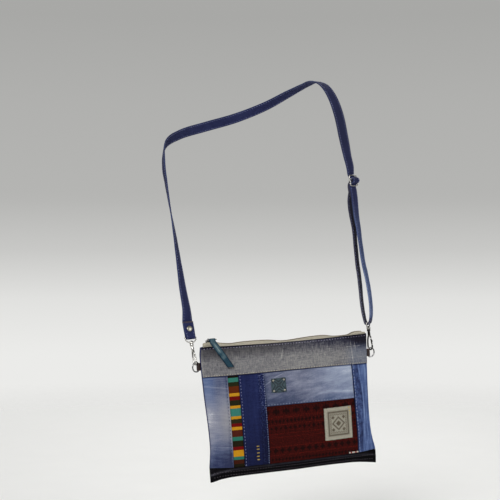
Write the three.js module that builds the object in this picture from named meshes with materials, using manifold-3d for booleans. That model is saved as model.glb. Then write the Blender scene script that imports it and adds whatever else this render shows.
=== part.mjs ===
// Flat zip pouch of patchwork denim on a crossbody strap, in the form that it takes when worn.
// Millimetres. X runs along the bag's width, Y from its front to its back, Z up.
// The origin is the underside of the strap where it rests on the shoulder.

import * as THREE from 'three';
import { mergeVertices } from 'three/addons/utils/BufferGeometryUtils.js';
import Module from 'manifold-3d';

const wasm = await Module();
wasm.setup();

// Driving sizes: cloth and leather
const DENIM = 1.2;
const TAPE = 0.6;
const PATCH = 1.3;
const TAB_LEATHER = 1.2;
const GAP = 0.3;

// Driving sizes: the pouch
const BAG_PLACE = [-84.6, -102, -419];
const BAG_ROLL = 3.8;
const FRONT_EDGE = 2.5;
const FRONT_CROWN = 10.5;
const BACK_CROWN = 6;
const RIBBON_SINK = 0.4;

// Driving sizes: the strap
const STRAP_WIDTH = 17.5;
const STRAP_AT_EYE = 16;
const STRAP_THICK = 1.8;
const STRAP_LAYER = STRAP_THICK + GAP;
const STRAP_TAIL = 24.5;
const STRAP_SLACK = 3.8;

// Driving sizes: the metal fittings
const RING_WIRE = 1;
const RING_HALF_HEIGHT = 7.2;
const RING_DEPTH = 10.7;
const TAB_HEIGHT = 11.8;
const TAB_REACH = 4.2;
const EYE_WIRE = 1;
const EYE_HALF_WIDTH = 9.4;
const EYE_DEPTH = 8.5;
const POST = 1.45;
const HOOK_WIRE = 1.35;
const HOOK_HALF_WIDTH = 4.6;
const HOOK_SHOULDER = 3.2;
const HOOK_TOP = -19.4;
const HOOK_BOTTOM = -43;
const GATE_PIVOT = -25;
const GATE_WIRE = 1.15;
const SLIDER_WIRE = 1;
const SLIDER_BAR = 0.9;
const SLIDER_HALF_WIDTH = 10.3;
const SLIDER_HALF_LENGTH = 8.4;
const SLIDER_ARCH = 1.5;
const RIVET = 4.5;
const RIVET_SHANK = 1.3;
const STUD = 1.5;

// Heights of the cross seams along the pouch: top edge, band seam, print seam, hem seam, bottom edge
const SEAMS = columns('x top band print hem bottom', [
  [-138, 0.6, -45.0, -97.4, -184.0, -207.0],
  [-130, 2.0, -45.0, -97.4, -184.6, -206.2],
  [-116, 1.6, -45.0, -97.5, -185.8, -203.2],
  [-95, 0.9, -45.1, -97.6, -186.8, -201.6],
  [-40, -0.4, -45.4, -97.8, -187.2, -201.4],
  [0, -0.9, -45.5, -98.2, -187.6, -201.6],
  [50, -0.9, -45.6, -98.8, -187.2, -201.0],
  [95, -0.2, -46.2, -99.3, -186.8, -201.6],
  [116, 0.0, -47.0, -99.6, -186.4, -203.4],
  [138, 0.0, -47.7, -99.8, -185.0, -206.8],
]);

// Side edges down the pouch: left edge, right edge, and how far the side wall reaches behind them
const EDGES = columns('z left right behind', [
  [-207, -132.4, 136.0, 1.5],
  [-196, -134.9, 138.4, 1.5],
  [-185, -134.8, 138.8, 1.6],
  [-170, -133.0, 135.4, 2.0],
  [-154, -131.6, 132.6, 2.6],
  [-125, -132.2, 131.2, 3.4],
  [-100, -133.8, 131.4, 3.8],
  [-75, -135.6, 131.9, 4.2],
  [-40, -137.2, 133.2, 5.0],
  [-12, -138.2, 134.3, 5.2],
  [3, -136.4, 134.8, 5.0],
]);

// Share of the full crown from the top edge (0) to the bottom edge (1)
const CROWN = columns('down front back', [
  [0, 0.5, 0.45],
  [0.22, 0.8, 0.75],
  [0.5, 1, 1],
  [0.8, 0.93, 0.95],
  [0.94, 0.7, 0.7],
  [1, 0.6, 0.6],
]);

// Soft drag folds in the front: middle, direction from X, half length, half width, height
const FOLDS = [
  { x: -112, z: -128, turn: -14, along: 26, across: 7, rise: 0.9 },
  { x: -70, z: -150, turn: 70, along: 40, across: 9, rise: 0.7 },
  { x: 20, z: -76, turn: 8, along: 60, across: 9, rise: 0.8 },
  { x: 60, z: -172, turn: -6, along: 50, across: 8, rise: 0.7 },
  { x: -20, z: -24, turn: 3, along: 80, across: 10, rise: 0.6 },
];

// The zip's height above the top edge along the pouch
const ZIP = columns('x rise', [
  [-136, 3.6],
  [-129, 5.8],
  [-124, 6.5],
  [-116, 6],
  [-106, 4],
  [-90, 2.5],
  [-70, 3.8],
  [-45, 4.2],
  [-28, 3.6],
  [-10, 1.3],
  [2, 1],
  [27, 2.7],
  [48, 3.6],
  [64, 3.2],
  [80, 0.3],
  [103, 0.2],
  [112, 3.4],
  [124, 3.8],
  [133, 2],
]);

// The strap from above the left hook, under the arm, over the shoulder and down to the slider:
// place, then the direction that its outer face looks
const STRAP_ROUTE = [
  { at: [-237.3, -78, -370], faces: [-0.5, 0.86, 0] },
  { at: [-240.2, -66, -338.7], faces: [-0.62, 0.78, 0] },
  { at: [-243.4, -50, -293], faces: [-0.79, 0.61, 0] },
  { at: [-246.4, -33, -248], faces: [-0.89, 0.45, 0] },
  { at: [-248.8, -16, -212], faces: [-0.96, 0.27, 0] },
  { at: [-250.2, 5, -174], faces: [-0.99, 0.1, 0] },
  { at: [-250, 27, -138], faces: [-1, 0, 0.08] },
  { at: [-239.5, 60, -104], faces: [-0.9, 0.36, 0.2] },
  { at: [-206, 96, -83], faces: [-0.6, 0.75, 0.24] },
  { at: [-155, 119, -66], faces: [-0.3, 0.92, 0.26] },
  { at: [-100, 124, -49], faces: [-0.1, 0.93, 0.34] },
  { at: [-52, 108, -29], faces: [0, 0.84, 0.54] },
  { at: [-20, 76, -10], faces: [0, 0.66, 0.75] },
  { at: [-5, 38, -0.5], faces: [0, 0.3, 0.95] },
  { at: [0, 0, 1.2], faces: [0.05, 0, 1] },
  { at: [6, -30, -9], faces: [0.1, -0.5, 0.86] },
  { at: [11.5, -52, -30], faces: [0.12, -0.86, 0.5] },
  { at: [16.5, -69, -61], faces: [0.08, -0.96, 0.26] },
  { at: [20.5, -80, -98], faces: [0.16, -0.98, 0.1] },
  { at: [24.8, -87, -131], faces: [0.4, -0.91, 0.04] },
];
const SLIDER_PLACE = [32, -93, -167.2];
const SLIDER_FACES = [0.6, -0.8, 0.02];
const SLIDER_UP = [-0.14, 0.12, 0.98];

// The doubled stretch below the slider: share of the way to the hook, how far apart the strands run,
// and how far both bow to the right
const STRANDS = columns('way apart bow', [
  [0, 2 * STRAP_LAYER, 0],
  [0.05, 7.6, -1.4],
  [0.1, 8.4, -2],
  [0.18, 7.8, -2.1],
  [0.28, 7.4, -1],
  [0.38, 8.4, -1.2],
  [0.55, 10.3, -0.9],
  [0.63, 11.8, 0.3],
  [0.72, 13.4, 1],
  [0.81, 14.6, 1.1],
  [0.9, 13.8, 0.9],
  [0.95, 11.6, 0.7],
  [1, 2 * STRAP_SLACK, 0],
]);
const BOW = [0.96, -0.29, 0];
const STRAND_FACES = [0.77, -0.64, 0];
const RIGHT_EYE_FACES = [0.8, -0.6, 0];
const LEFT_EYE_FACES = [-0.24, 0.97, 0];

// Where each ring sits on the pouch and how the hook hangs on it: side of the bag, height,
// turn of the ring about its bar, the hook's place along it, the way the hook's gate looks, and the lean of
// the hook's axis
const HANGERS = [
  {
    side: 'left', sign: -1, z: -28, turn: 25, reach: 5.2,
    gate: [0.19, -0.98, 0], axis: [-0.115, 0.3, 0.95], eye: LEFT_EYE_FACES,
  },
  {
    side: 'right', sign: 1, z: -31, turn: -10, reach: 4.2,
    gate: [0.41, -0.91, 0], axis: [-0.11, -0.02, 0.99], eye: RIGHT_EYE_FACES,
  },
];

// Colours
const LOOKS = {
  grey_denim: { color: '#77777a', roughness: 0.95 },
  pale_denim: { color: '#7f8fb8', roughness: 0.95 },
  indigo_denim: { color: '#232b5e', roughness: 0.95 },
  mid_denim: { color: '#4a639f', roughness: 0.95 },
  black_denim: { color: '#17181c', roughness: 0.95 },
  ribbon: { color: '#c98a2a', roughness: 0.85 },
  red_print: { color: '#4a150f', roughness: 0.9 },
  cream_tape: { color: '#cfc8b0', roughness: 0.9 },
  canvas: { color: '#b5b0a0', roughness: 0.9 },
  teal_leather: { color: '#2d6470', roughness: 0.6 },
  brown_leather: { color: '#3a211b', roughness: 0.6 },
  nickel: { color: '#c9c9cc', roughness: 0.18, metalness: 1 },
};

const bag = new THREE.Group();
const piece = new THREE.Group();

// Smooth curves through a short table: the first column is the place, each other column gets a function
function columns(names, rows) {
  const keys = names.split(' ').slice(1);
  const places = rows.map((row) => row[0]);
  const entries = keys.map((key, k) => {
    const values = rows.map((row) => row[k + 1]);
    return [key, (at) => smooth(places, values, at)];
  });
  return Object.fromEntries(entries);
}

function smooth(places, values, at) {
  const last = places.length - 1;
  const x = Math.min(Math.max(at, places[0]), places[last]);
  let i = 0;
  while (i < last - 1 && x > places[i + 1]) i += 1;
  const slope = (k) => {
    const a = Math.max(k - 1, 0);
    const b = Math.min(k + 1, last);
    return (values[b] - values[a]) / (places[b] - places[a]);
  };
  const span = places[i + 1] - places[i];
  const t = (x - places[i]) / span;
  const h = t * t * (3 - 2 * t);
  const rest = values[i] + (values[i + 1] - values[i]) * h;
  const lead = slope(i) * span * t * (1 - t) ** 2;
  return rest + lead - slope(i + 1) * span * t * t * (1 - t);
}

const mix = (a, b, t) => a + (b - a) * t;
const vec = (p) => new THREE.Vector3(...p);
const radians = THREE.MathUtils.degToRad;
const steps = (count) => Array.from({ length: count + 1 }, (_, i) => i / count);

// Closed solid through sections with equal numbers of points, capped at both ends or joined into a ring
function loft(sections, ring = false) {
  const n = sections[0].length;
  const count = sections.length;
  const index = [];
  const quad = (a, b, c, d) => index.push(a, b, c, a, c, d);
  for (let i = 0; i < (ring ? count : count - 1); i += 1) {
    const here = i * n;
    const next = ((i + 1) % count) * n;
    for (let k = 0; k < n; k += 1) {
      const l = (k + 1) % n;
      quad(here + k, here + l, next + l, next + k);
    }
  }
  const end = (count - 1) * n;
  for (let k = 0; k < n / 2 - 1 && !ring; k += 1) {
    quad(k + 1, k, n - 1 - k, n - 2 - k);
    quad(end + k, end + k + 1, end + n - 2 - k, end + n - 1 - k);
  }
  const points = sections.flat();
  if (signedVolume(points, index) < 0) index.reverse();
  const numbers = points.flatMap((p) => p.toArray());
  const geometry = new THREE.BufferGeometry();
  geometry.setAttribute('position', new THREE.Float32BufferAttribute(numbers, 3));
  geometry.setIndex(index);
  return geometry;
}

function signedVolume(points, index) {
  const cross = new THREE.Vector3();
  let sum = 0;
  for (let i = 0; i < index.length; i += 3) {
    cross.crossVectors(points[index[i + 1]], points[index[i + 2]]);
    sum += points[index[i]].dot(cross);
  }
  return sum;
}

// Cloth wall: a surface with its thickness laid on the inner side
function wall(surface, cols, rows, thickness) {
  const h = 1e-3;
  const sections = steps(cols).map((u) => {
    const outer = steps(rows).map((v) => surface(u, v));
    const inner = steps(rows).map((v) => {
      const du = surface(u + h, v).sub(surface(u - h, v));
      const dv = surface(u, v + h).sub(surface(u, v - h));
      return surface(u, v).addScaledVector(du.cross(dv).normalize(), thickness);
    });
    return [...outer, ...inner.reverse()];
  });
  return loft(sections);
}

// Round wire along a flat route; look is the normal of the route's plane
function wire(route, radius, look, { sides = 8, ring = false } = {}) {
  const last = route.length - 1;
  const sections = route.map((p, i) => {
    const before = route[ring ? (i + last) % (last + 1) : Math.max(i - 1, 0)];
    const after = route[ring ? (i + 1) % (last + 1) : Math.min(i + 1, last)];
    const tangent = after.clone().sub(before).normalize();
    const across = new THREE.Vector3().crossVectors(tangent, look).normalize();
    return steps(sides).slice(1).map((s) => {
      const a = 2 * Math.PI * s;
      const out = across.clone().multiplyScalar(Math.cos(a)).addScaledVector(look, Math.sin(a));
      return p.clone().addScaledVector(out, radius);
    });
  });
  return loft(sections, ring);
}

// Flat band along a route of { at, faces, width }
function band(route, thickness) {
  const last = route.length - 1;
  const sections = route.map(({ at, faces, width }, i) => {
    const before = route[Math.max(i - 1, 0)].at;
    const tangent = route[Math.min(i + 1, last)].at.clone().sub(before).normalize();
    const look = faces.clone().addScaledVector(tangent, -faces.dot(tangent)).normalize();
    const half = new THREE.Vector3().crossVectors(tangent, look).multiplyScalar(width / 2);
    const rise = look.multiplyScalar(thickness / 2);
    const corner = (w, t) => at.clone().addScaledVector(half, w).addScaledVector(rise, t);
    return [corner(-1, 1), corner(1, 1), corner(1, -1), corner(-1, -1)];
  });
  return loft(sections);
}

// Round solid about Z from half-outline points [radius, height]
function turned(outline, sides = 16) {
  const points = outline.map(([r, z]) => new THREE.Vector2(r, z));
  return new THREE.LatheGeometry(points, sides).rotateX(Math.PI / 2);
}

// Joining and cutting
function solid(geometry) {
  const bare = geometry.clone();
  bare.deleteAttribute('normal');
  bare.deleteAttribute('uv');
  const merged = mergeVertices(bare, 1e-4);
  const mesh = new wasm.Mesh({
    numProp: 3,
    vertProperties: new Float32Array(merged.attributes.position.array),
    triVerts: new Uint32Array(merged.index.array),
  });
  return new wasm.Manifold(mesh);
}

function shaped(manifold) {
  const { vertProperties, triVerts } = manifold.getMesh();
  const geometry = new THREE.BufferGeometry();
  geometry.setAttribute('position', new THREE.BufferAttribute(new Float32Array(vertProperties), 3));
  geometry.setIndex(new THREE.BufferAttribute(new Uint32Array(triVerts), 1));
  return geometry;
}

const joined = (...geometries) => shaped(geometries.map(solid).reduce((a, b) => a.add(b)));
const cut = (geometry, tool) => shaped(solid(geometry).subtract(solid(tool)));

function add(group, name, geometry, look) {
  const finish = { metalness: 0, ...LOOKS[look] };
  const mesh = new THREE.Mesh(geometry, new THREE.MeshStandardMaterial(finish));
  mesh.name = name;
  group.add(mesh);
  return mesh;
}

// The pouch's front surface: distance in front of the seam plane
function frontDepth(x, z) {
  const left = EDGES.left(z);
  const across = Math.min(1, Math.abs(2 * (x - left) / (EDGES.right(z) - left) - 1));
  const down = (SEAMS.top(x) - z) / (SEAMS.top(x) - SEAMS.bottom(x));
  const full = (1 - across ** 3.2) * CROWN.front(down);
  const folds = FOLDS.reduce((sum, f) => {
    const c = Math.cos(radians(f.turn));
    const s = Math.sin(radians(f.turn));
    const a = ((x - f.x) * c + (z - f.z) * s) / f.along;
    const b = ((z - f.z) * c - (x - f.x) * s) / f.across;
    return sum + f.rise * Math.exp(-a * a - b * b);
  }, 0);
  return edgeDepth(z) + FRONT_CROWN * full + folds * (1 - across ** 4);
}

// The seam thins to two flat layers at the bottom corners
function edgeDepth(z) {
  return mix(DENIM + GAP / 2 + 0.05, FRONT_EDGE, THREE.MathUtils.smoothstep(z, -182, -150));
}

function backDepth(x, z) {
  const left = EDGES.left(z);
  const across = Math.min(1, Math.abs(2 * (x - left) / (EDGES.right(z) - left) - 1));
  const down = (SEAMS.top(x) - z) / (SEAMS.top(x) - SEAMS.bottom(x));
  return EDGES.behind(z) + BACK_CROWN * (1 - across ** 3) * CROWN.back(down);
}

const slanted = (atTop, atFoot) => (z) => mix(atTop, atFoot, (z + 45) / -141);

// Lines between the upright strips, from the band seam to the hem
const LINES = {
  left: EDGES.left,
  ribbon_start: slanted(-99.3, -97.5),
  ribbon_end: slanted(-82.5, -80.5),
  indigo_end: slanted(-41.8, -40.3),
  print_end: slanted(104.2, 107.8),
  right: EDGES.right,
};

// Front panels: side lines, upper and lower seam, facets across and down,
// and how far the face lies below its neighbours
const PANELS = [
  {
    name: 'top_band', look: 'grey_denim',
    sides: ['left', 'right'], seams: ['top', 'band'], facets: [18, 3],
  },
  {
    name: 'left_panel', look: 'pale_denim',
    sides: ['left', 'ribbon_start'], seams: ['band', 'hem'], facets: [4, 9],
  },
  {
    name: 'striped_ribbon', look: 'ribbon', sink: RIBBON_SINK,
    sides: ['ribbon_start', 'ribbon_end'], seams: ['band', 'hem'], facets: [2, 9],
  },
  {
    name: 'indigo_strip', look: 'indigo_denim',
    sides: ['ribbon_end', 'indigo_end'], seams: ['band', 'hem'], facets: [3, 9],
  },
  {
    name: 'centre_panel', look: 'pale_denim',
    sides: ['indigo_end', 'print_end'], seams: ['band', 'print'], facets: [9, 4],
  },
  {
    name: 'print_panel', look: 'red_print',
    sides: ['indigo_end', 'print_end'], seams: ['print', 'hem'], facets: [9, 6],
  },
  {
    name: 'right_strip', look: 'mid_denim',
    sides: ['print_end', 'right'], seams: ['band', 'hem'], facets: [3, 9],
  },
];

function frontPanel({ sides: [from, to], seams: [upper, lower], facets: [cols, rows], sink = 0 }) {
  const inset = GAP / 2;
  return wall((u, v) => {
    let x = 0;
    let z = -100;
    for (let pass = 0; pass < 5; pass += 1) {
      x = mix(LINES[from](z) + inset, LINES[to](z) - inset, u);
      z = mix(SEAMS[upper](x) - inset, SEAMS[lower](x) + inset, v);
    }
    return new THREE.Vector3(x, sink - frontDepth(x, z), z);
  }, cols, rows, DENIM);
}

for (const panel of PANELS) add(bag, panel.name, frontPanel(panel), panel.look);

// Bottom band: a half round under the pouch from the front hem to the back hem, pinched flat at the corners
function bottomBand() {
  return wall((u, v) => {
    const z0 = -196;
    const x = mix(EDGES.left(z0) + GAP, EDGES.right(z0) - GAP, u);
    const hem = SEAMS.hem(x) - GAP / 2;
    const front = -frontDepth(x, hem);
    const back = backDepth(x, hem);
    const a = Math.PI * v;
    const round = (s) => Math.sign(s) * Math.abs(s) ** 0.8;
    const y = mix(front, back, 0.5 - 0.5 * round(Math.cos(a)));
    return new THREE.Vector3(x, y, hem - (hem - SEAMS.bottom(x)) * round(Math.sin(a)));
  }, 18, 10, DENIM);
}
add(bag, 'bottom_band', bottomBand(), 'black_denim');

// Back panel: one cloth with both side walls, folded forward to meet the front's side seams
function backPanel() {
  const turn = 0.9;
  return wall((u, v) => {
    const c = 1 - 2 * u;
    const share = THREE.MathUtils.clamp(c / turn, -1, 1);
    let z = -100;
    let x = 0;
    for (let pass = 0; pass < 5; pass += 1) {
      const left = EDGES.left(z);
      const right = EDGES.right(z);
      x = mix(left, right, 0.5 + 0.5 * share);
      z = mix(SEAMS.top(x), SEAMS.hem(x) + GAP / 2, v);
    }
    const fold = Math.max(0, Math.abs(c) - turn) / (1 - turn);
    const seam = DENIM + GAP + 0.1 - edgeDepth(z);
    return new THREE.Vector3(x, mix(backDepth(x, z), seam, fold), z);
  }, 20, 10, DENIM);
}
add(bag, 'back_panel', backPanel(), 'indigo_denim');

// Zip: a tape sewn inside each top edge, the closed chain between them, and the slider at the left end
const zipTop = (x) => SEAMS.top(x) + ZIP.rise(x);

function zipTape(side) {
  const atChain = 2.9 + TAPE / 2;
  return wall((u, v) => {
    const x = side * mix(-132.5, 132.5, u);
    const top = SEAMS.top(x);
    const depth = side > 0 ? frontDepth(x, top) : backDepth(x, top);
    const z = mix(zipTop(x), top - 6, v);
    const sewn = Math.max(depth - DENIM - GAP - 0.1, 0.95);
    const inside = mix(Math.min(atChain, sewn), sewn, THREE.MathUtils.smoothstep(v, 0.1, 0.75));
    const y = mix(inside, atChain, THREE.MathUtils.smoothstep(z, top + 0.3, top + 2.5));
    return new THREE.Vector3(x, -side * y, z);
  }, 30, 4, TAPE);
}
add(bag, 'zip_tape_front', zipTape(1), 'cream_tape');
add(bag, 'zip_tape_back', zipTape(-1), 'cream_tape');

function zipChain() {
  const route = steps(32).map((t) => {
    const x = mix(-118, 126, t);
    return { at: new THREE.Vector3(x, 0, zipTop(x)), faces: new THREE.Vector3(0, 0, 1), width: 4.8 };
  });
  return band(route, 1.8);
}
add(bag, 'zip_chain', zipChain(), 'cream_tape');

// Zip slider: a plate over the chain's end, a post between the tapes and an arch for the bail
const ZIP_SLIDER_X = -124;
function zipSlider() {
  const plate = new THREE.BoxGeometry(9, 7, 1.4).translate(0, 0, 1.9);
  const post = new THREE.BoxGeometry(8, 4, 3.4).translate(0, 0, 0);
  const route = steps(8).map((t) => {
    const a = Math.PI * t;
    return new THREE.Vector3(0, -2.6 * Math.cos(a), 2.2 + 3.2 * Math.sin(a));
  });
  const arch = wire(route, 0.7, new THREE.Vector3(1, 0, 0), { sides: 6 });
  return joined(plate, post, arch);
}
const zipSliderMesh = add(bag, 'zip_slider', zipSlider(), 'nickel');
zipSliderMesh.position.set(ZIP_SLIDER_X, 0, zipTop(ZIP_SLIDER_X));

// Bail: a flat wire loop through the slider's arch that carries the leather pull
const BAIL = {
  x: ZIP_SLIDER_X + 4.6,
  y: -3.4,
  z: zipTop(ZIP_SLIDER_X) + 3.7,
  half: 7.2,
  reach: 3.4,
  wire: 0.6,
};
function roundedLoop(halfWidth, halfLength, corner, count) {
  const shape = new THREE.Path();
  shape.moveTo(-halfWidth + corner, -halfLength);
  shape.lineTo(halfWidth - corner, -halfLength);
  shape.absarc(halfWidth - corner, -halfLength + corner, corner, -Math.PI / 2, 0);
  shape.lineTo(halfWidth, halfLength - corner);
  shape.absarc(halfWidth - corner, halfLength - corner, corner, 0, Math.PI / 2);
  shape.lineTo(-halfWidth + corner, halfLength);
  shape.absarc(-halfWidth + corner, halfLength - corner, corner, Math.PI / 2, Math.PI);
  shape.lineTo(-halfWidth, -halfLength + corner);
  shape.absarc(-halfWidth + corner, -halfLength + corner, corner, Math.PI, 1.5 * Math.PI);
  return shape.getSpacedPoints(count).slice(0, count);
}
function bail() {
  const route = roundedLoop(BAIL.half, BAIL.reach, 1.6, 24).map((p) => new THREE.Vector3(p.x, p.y, 0));
  return wire(route, BAIL.wire, new THREE.Vector3(0, 0, 1), { sides: 6, ring: true });
}
const bailMesh = add(bag, 'pull_bail', bail(), 'nickel');
bailMesh.position.set(BAIL.x, BAIL.y, BAIL.z);

// Zip pull: a leather strip folded round the bail, hanging over the front
const PULL_WIDTH = 9.4;
const PULL_LEATHER = 1.2;
const PULL_ROUTE = [
  { at: [-119.4, -8.3, 8.6], faces: [0.1, -0.95, 0.3] },
  { at: [-115.6, -9.4, 1.5], faces: [0.1, -0.99, 0.1] },
  { at: [-109.4, -10, -8], faces: [0.08, -1, 0] },
  { at: [-102.4, -10.8, -18.5], faces: [0.05, -1, 0] },
  { at: [-94, -11.8, -31.5], faces: [0.03, -1, 0] },
];
function zipPull() {
  const places = new THREE.CatmullRomCurve3(PULL_ROUTE.map((r) => vec(r.at)));
  const looks = new THREE.CatmullRomCurve3(PULL_ROUTE.map((r) => vec(r.faces)));
  const layer = (PULL_LEATHER + GAP) / 2;
  const bar = new THREE.Vector3(BAIL.x, BAIL.y - BAIL.reach, BAIL.z);
  const turn = BAIL.wire + GAP + PULL_LEATHER / 2;
  const strand = (side) => steps(6).map((t) => {
    const faces = looks.getPoint(t).normalize().multiplyScalar(side);
    return { at: places.getPoint(t).addScaledVector(faces, layer), faces, width: PULL_WIDTH };
  });
  const down = places.getPoint(0).sub(bar).setX(0).normalize();
  const out = new THREE.Vector3(0, down.z, -down.y).multiplyScalar(-1);
  const fold = steps(6).map((t) => {
    const a = Math.PI * (t - 0.5);
    const faces = out.clone().multiplyScalar(Math.sin(a)).addScaledVector(down, -Math.cos(a));
    return { at: bar.clone().addScaledVector(faces, turn), faces, width: PULL_WIDTH };
  });
  const back = strand(-1).reverse();
  const front = strand(1);
  const inward = front[0].faces.dot(out) > 0 ? fold : fold.reverse();
  return band([...back, ...inward, ...front], PULL_LEATHER);
}
add(bag, 'zip_pull', zipPull(), 'teal_leather');

// Patches sewn on the front
function patch(x0, x1, zTop, zFoot, cols, rows, thickness) {
  return wall((u, v) => {
    const x = mix(x0, x1, u);
    const z = mix(zTop, zFoot, v);
    return new THREE.Vector3(x, -frontDepth(x, z) - thickness - GAP - 0.1, z);
  }, cols, rows, thickness);
}
add(bag, 'label_patch', patch(51.2, 97.8, -110.3, -160.9, 5, 5, PATCH), 'canvas');
add(bag, 'stud_patch', patch(-31.7, -7.8, -55.2, -77.6, 3, 3, PATCH), 'teal_leather');
add(bag, 'seam_tab', patch(90.2, 107.2, -182.9, -186.2, 3, 1, 0.8), 'cream_tape');

// Studs: small domes on the corners of the leather patch
const STUD_PLACES = [
  { name: 'upper_left', x: -28.4, z: -58.4 },
  { name: 'upper_right', x: -11.1, z: -58.4 },
  { name: 'lower_left', x: -28.4, z: -74.4 },
  { name: 'lower_right', x: -11.1, z: -74.4 },
];
for (const { name, x, z } of STUD_PLACES) {
  const dome = turned([[0, 0], [STUD, 0], [STUD, 0.35], [STUD * 0.7, 0.95], [0, 1.2]], 10);
  const mesh = add(bag, `stud_${name}`, dome, 'nickel');
  mesh.rotation.x = Math.PI / 2;
  mesh.position.set(x, -frontDepth(x, z) - PATCH - 2 * GAP - 0.2, z);
}

// Rings and their leather tabs at the sides
function ringRoute() {
  const shape = new THREE.Path();
  const h = RING_HALF_HEIGHT;
  shape.moveTo(0, -h + 1.8);
  shape.lineTo(0, h - 1.8);
  shape.quadraticCurveTo(0, h, 1.8, h);
  shape.lineTo(4, h);
  shape.absellipse(4, 0, RING_DEPTH - 4, h, Math.PI / 2, -Math.PI / 2, true);
  shape.lineTo(1.8, -h);
  shape.quadraticCurveTo(0, -h, 0, -h + 1.8);
  return shape.getSpacedPoints(26).slice(0, 26).map((p) => new THREE.Vector3(p.x, 0, p.y));
}

function sideTab(sign) {
  const turn = RING_WIRE + GAP + TAB_LEATHER / 2;
  const root = -sign * (TAB_REACH - 2 * GAP - 0.1);
  const half = (TAB_LEATHER + GAP) / 2 + 0.05;
  const end = (side) => {
    const faces = new THREE.Vector3(0, side, 0);
    return { at: new THREE.Vector3(root, side * half, 0), faces, width: TAB_HEIGHT };
  };
  const bend = steps(8).map((t) => {
    const a = Math.PI * (t - 0.5) * 1.16;
    const faces = new THREE.Vector3(sign * Math.cos(a), -Math.sin(a), 0);
    return { at: faces.clone().multiplyScalar(turn), faces, width: TAB_HEIGHT };
  });
  return band([end(1), ...bend, end(-1)], TAB_LEATHER);
}

// Swivel hook, drawn with its eye's bar at the origin and its length along -Z
function hookEye() {
  const shape = new THREE.Path();
  const w = EYE_HALF_WIDTH;
  shape.moveTo(-w + 1.4, 0);
  shape.lineTo(w - 1.4, 0);
  shape.quadraticCurveTo(w, 0, w, -1.4);
  shape.lineTo(w, -2.4);
  shape.bezierCurveTo(w, -5.2, 4.4, -EYE_DEPTH, 0, -EYE_DEPTH);
  shape.bezierCurveTo(-4.4, -EYE_DEPTH, -w, -5.2, -w, -2.4);
  shape.lineTo(-w, -1.4);
  shape.quadraticCurveTo(-w, 0, -w + 1.4, 0);
  const route = shape.getSpacedPoints(26).slice(0, 26).map((p) => new THREE.Vector3(p.x, 0, p.y));
  const loop = wire(route, EYE_WIRE, new THREE.Vector3(0, 1, 0), { ring: true });
  const boss = turned([[0, -10.3], [3, -10.3], [3.2, -9.6], [3.2, -7.9], [3, -7.2], [0, -7.2]], 14);
  const hole = turned([[0, -12], [POST + GAP, -12], [POST + GAP, -6], [0, -6]], 14);
  return cut(joined(loop, boss), hole);
}

function hookBody() {
  const w = HOOK_HALF_WIDTH;
  const look = new THREE.Vector3(0, 1, 0);
  const arcTop = HOOK_BOTTOM + w;
  const spine = new THREE.CatmullRomCurve3([
    [0, 0, HOOK_TOP + 0.5],
    [-1.7, 0, HOOK_TOP - 1.8],
    [-HOOK_SHOULDER, 0, HOOK_TOP - 6],
    [-w + 0.3, 0, HOOK_TOP - 12],
    [-w, 0, arcTop],
  ].map(vec)).getSpacedPoints(9);
  const bend = steps(8).slice(1).map((t) => {
    const a = Math.PI * (1 + t);
    return new THREE.Vector3(w * Math.cos(a), 0, arcTop + w * Math.sin(a));
  });
  const tip = [new THREE.Vector3(w, 0, arcTop + 3)];
  const arm = new THREE.CatmullRomCurve3([
    [0, 0, HOOK_TOP + 0.5],
    [1.7, 0, HOOK_TOP - 1.8],
    [2.7, 0, HOOK_TOP - 3.5],
    [HOOK_SHOULDER, 0, GATE_PIVOT + 0.7],
  ].map(vec)).getSpacedPoints(6);
  const post = turned([
    [0, HOOK_TOP - 1.4], [1.8, HOOK_TOP - 1.2], [2.4, HOOK_TOP + 0.4], [2.1, -14.2], [2.9, -12.8],
    [2.9, -10.6], [POST, -10.6], [POST, -6.9], [2.5, -6.9], [2.5, -6.2], [1.6, -5.5], [0, -5.3],
  ], 12);
  return joined(wire([...spine, ...bend, ...tip], HOOK_WIRE, look), wire(arm, HOOK_WIRE, look), post);
}

function hookGate() {
  const w = HOOK_HALF_WIDTH;
  const head = new THREE.Vector3(HOOK_SHOULDER, 0, GATE_PIVOT - 0.45);
  const foot = new THREE.Vector3(w, 0, HOOK_BOTTOM + w + 3.5);
  const route = steps(3).map((t) => head.clone().lerp(foot, t));
  const bar = wire(route, GATE_WIRE, new THREE.Vector3(0, 1, 0));
  const lever = new THREE.SphereGeometry(1, 8, 6).scale(1.6, 1, 1.8)
    .translate(HOOK_SHOULDER + 1.7, 0, GATE_PIVOT - 4.3);
  return joined(bar, lever);
}

const bagFrame = new THREE.Matrix4().makeRotationY(-radians(BAG_ROLL)).setPosition(...BAG_PLACE);
bag.rotation.y = -radians(BAG_ROLL);
bag.position.set(...BAG_PLACE);
piece.add(bag);

// Axes of a fitting: up along its own length, look as close as it can to the wanted direction
function axes(up, look) {
  const z = up.clone().normalize();
  const y = look.clone().addScaledVector(z, -look.dot(z)).normalize();
  const x = new THREE.Vector3().crossVectors(y, z);
  return new THREE.Matrix4().makeBasis(x, y, z);
}

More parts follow.
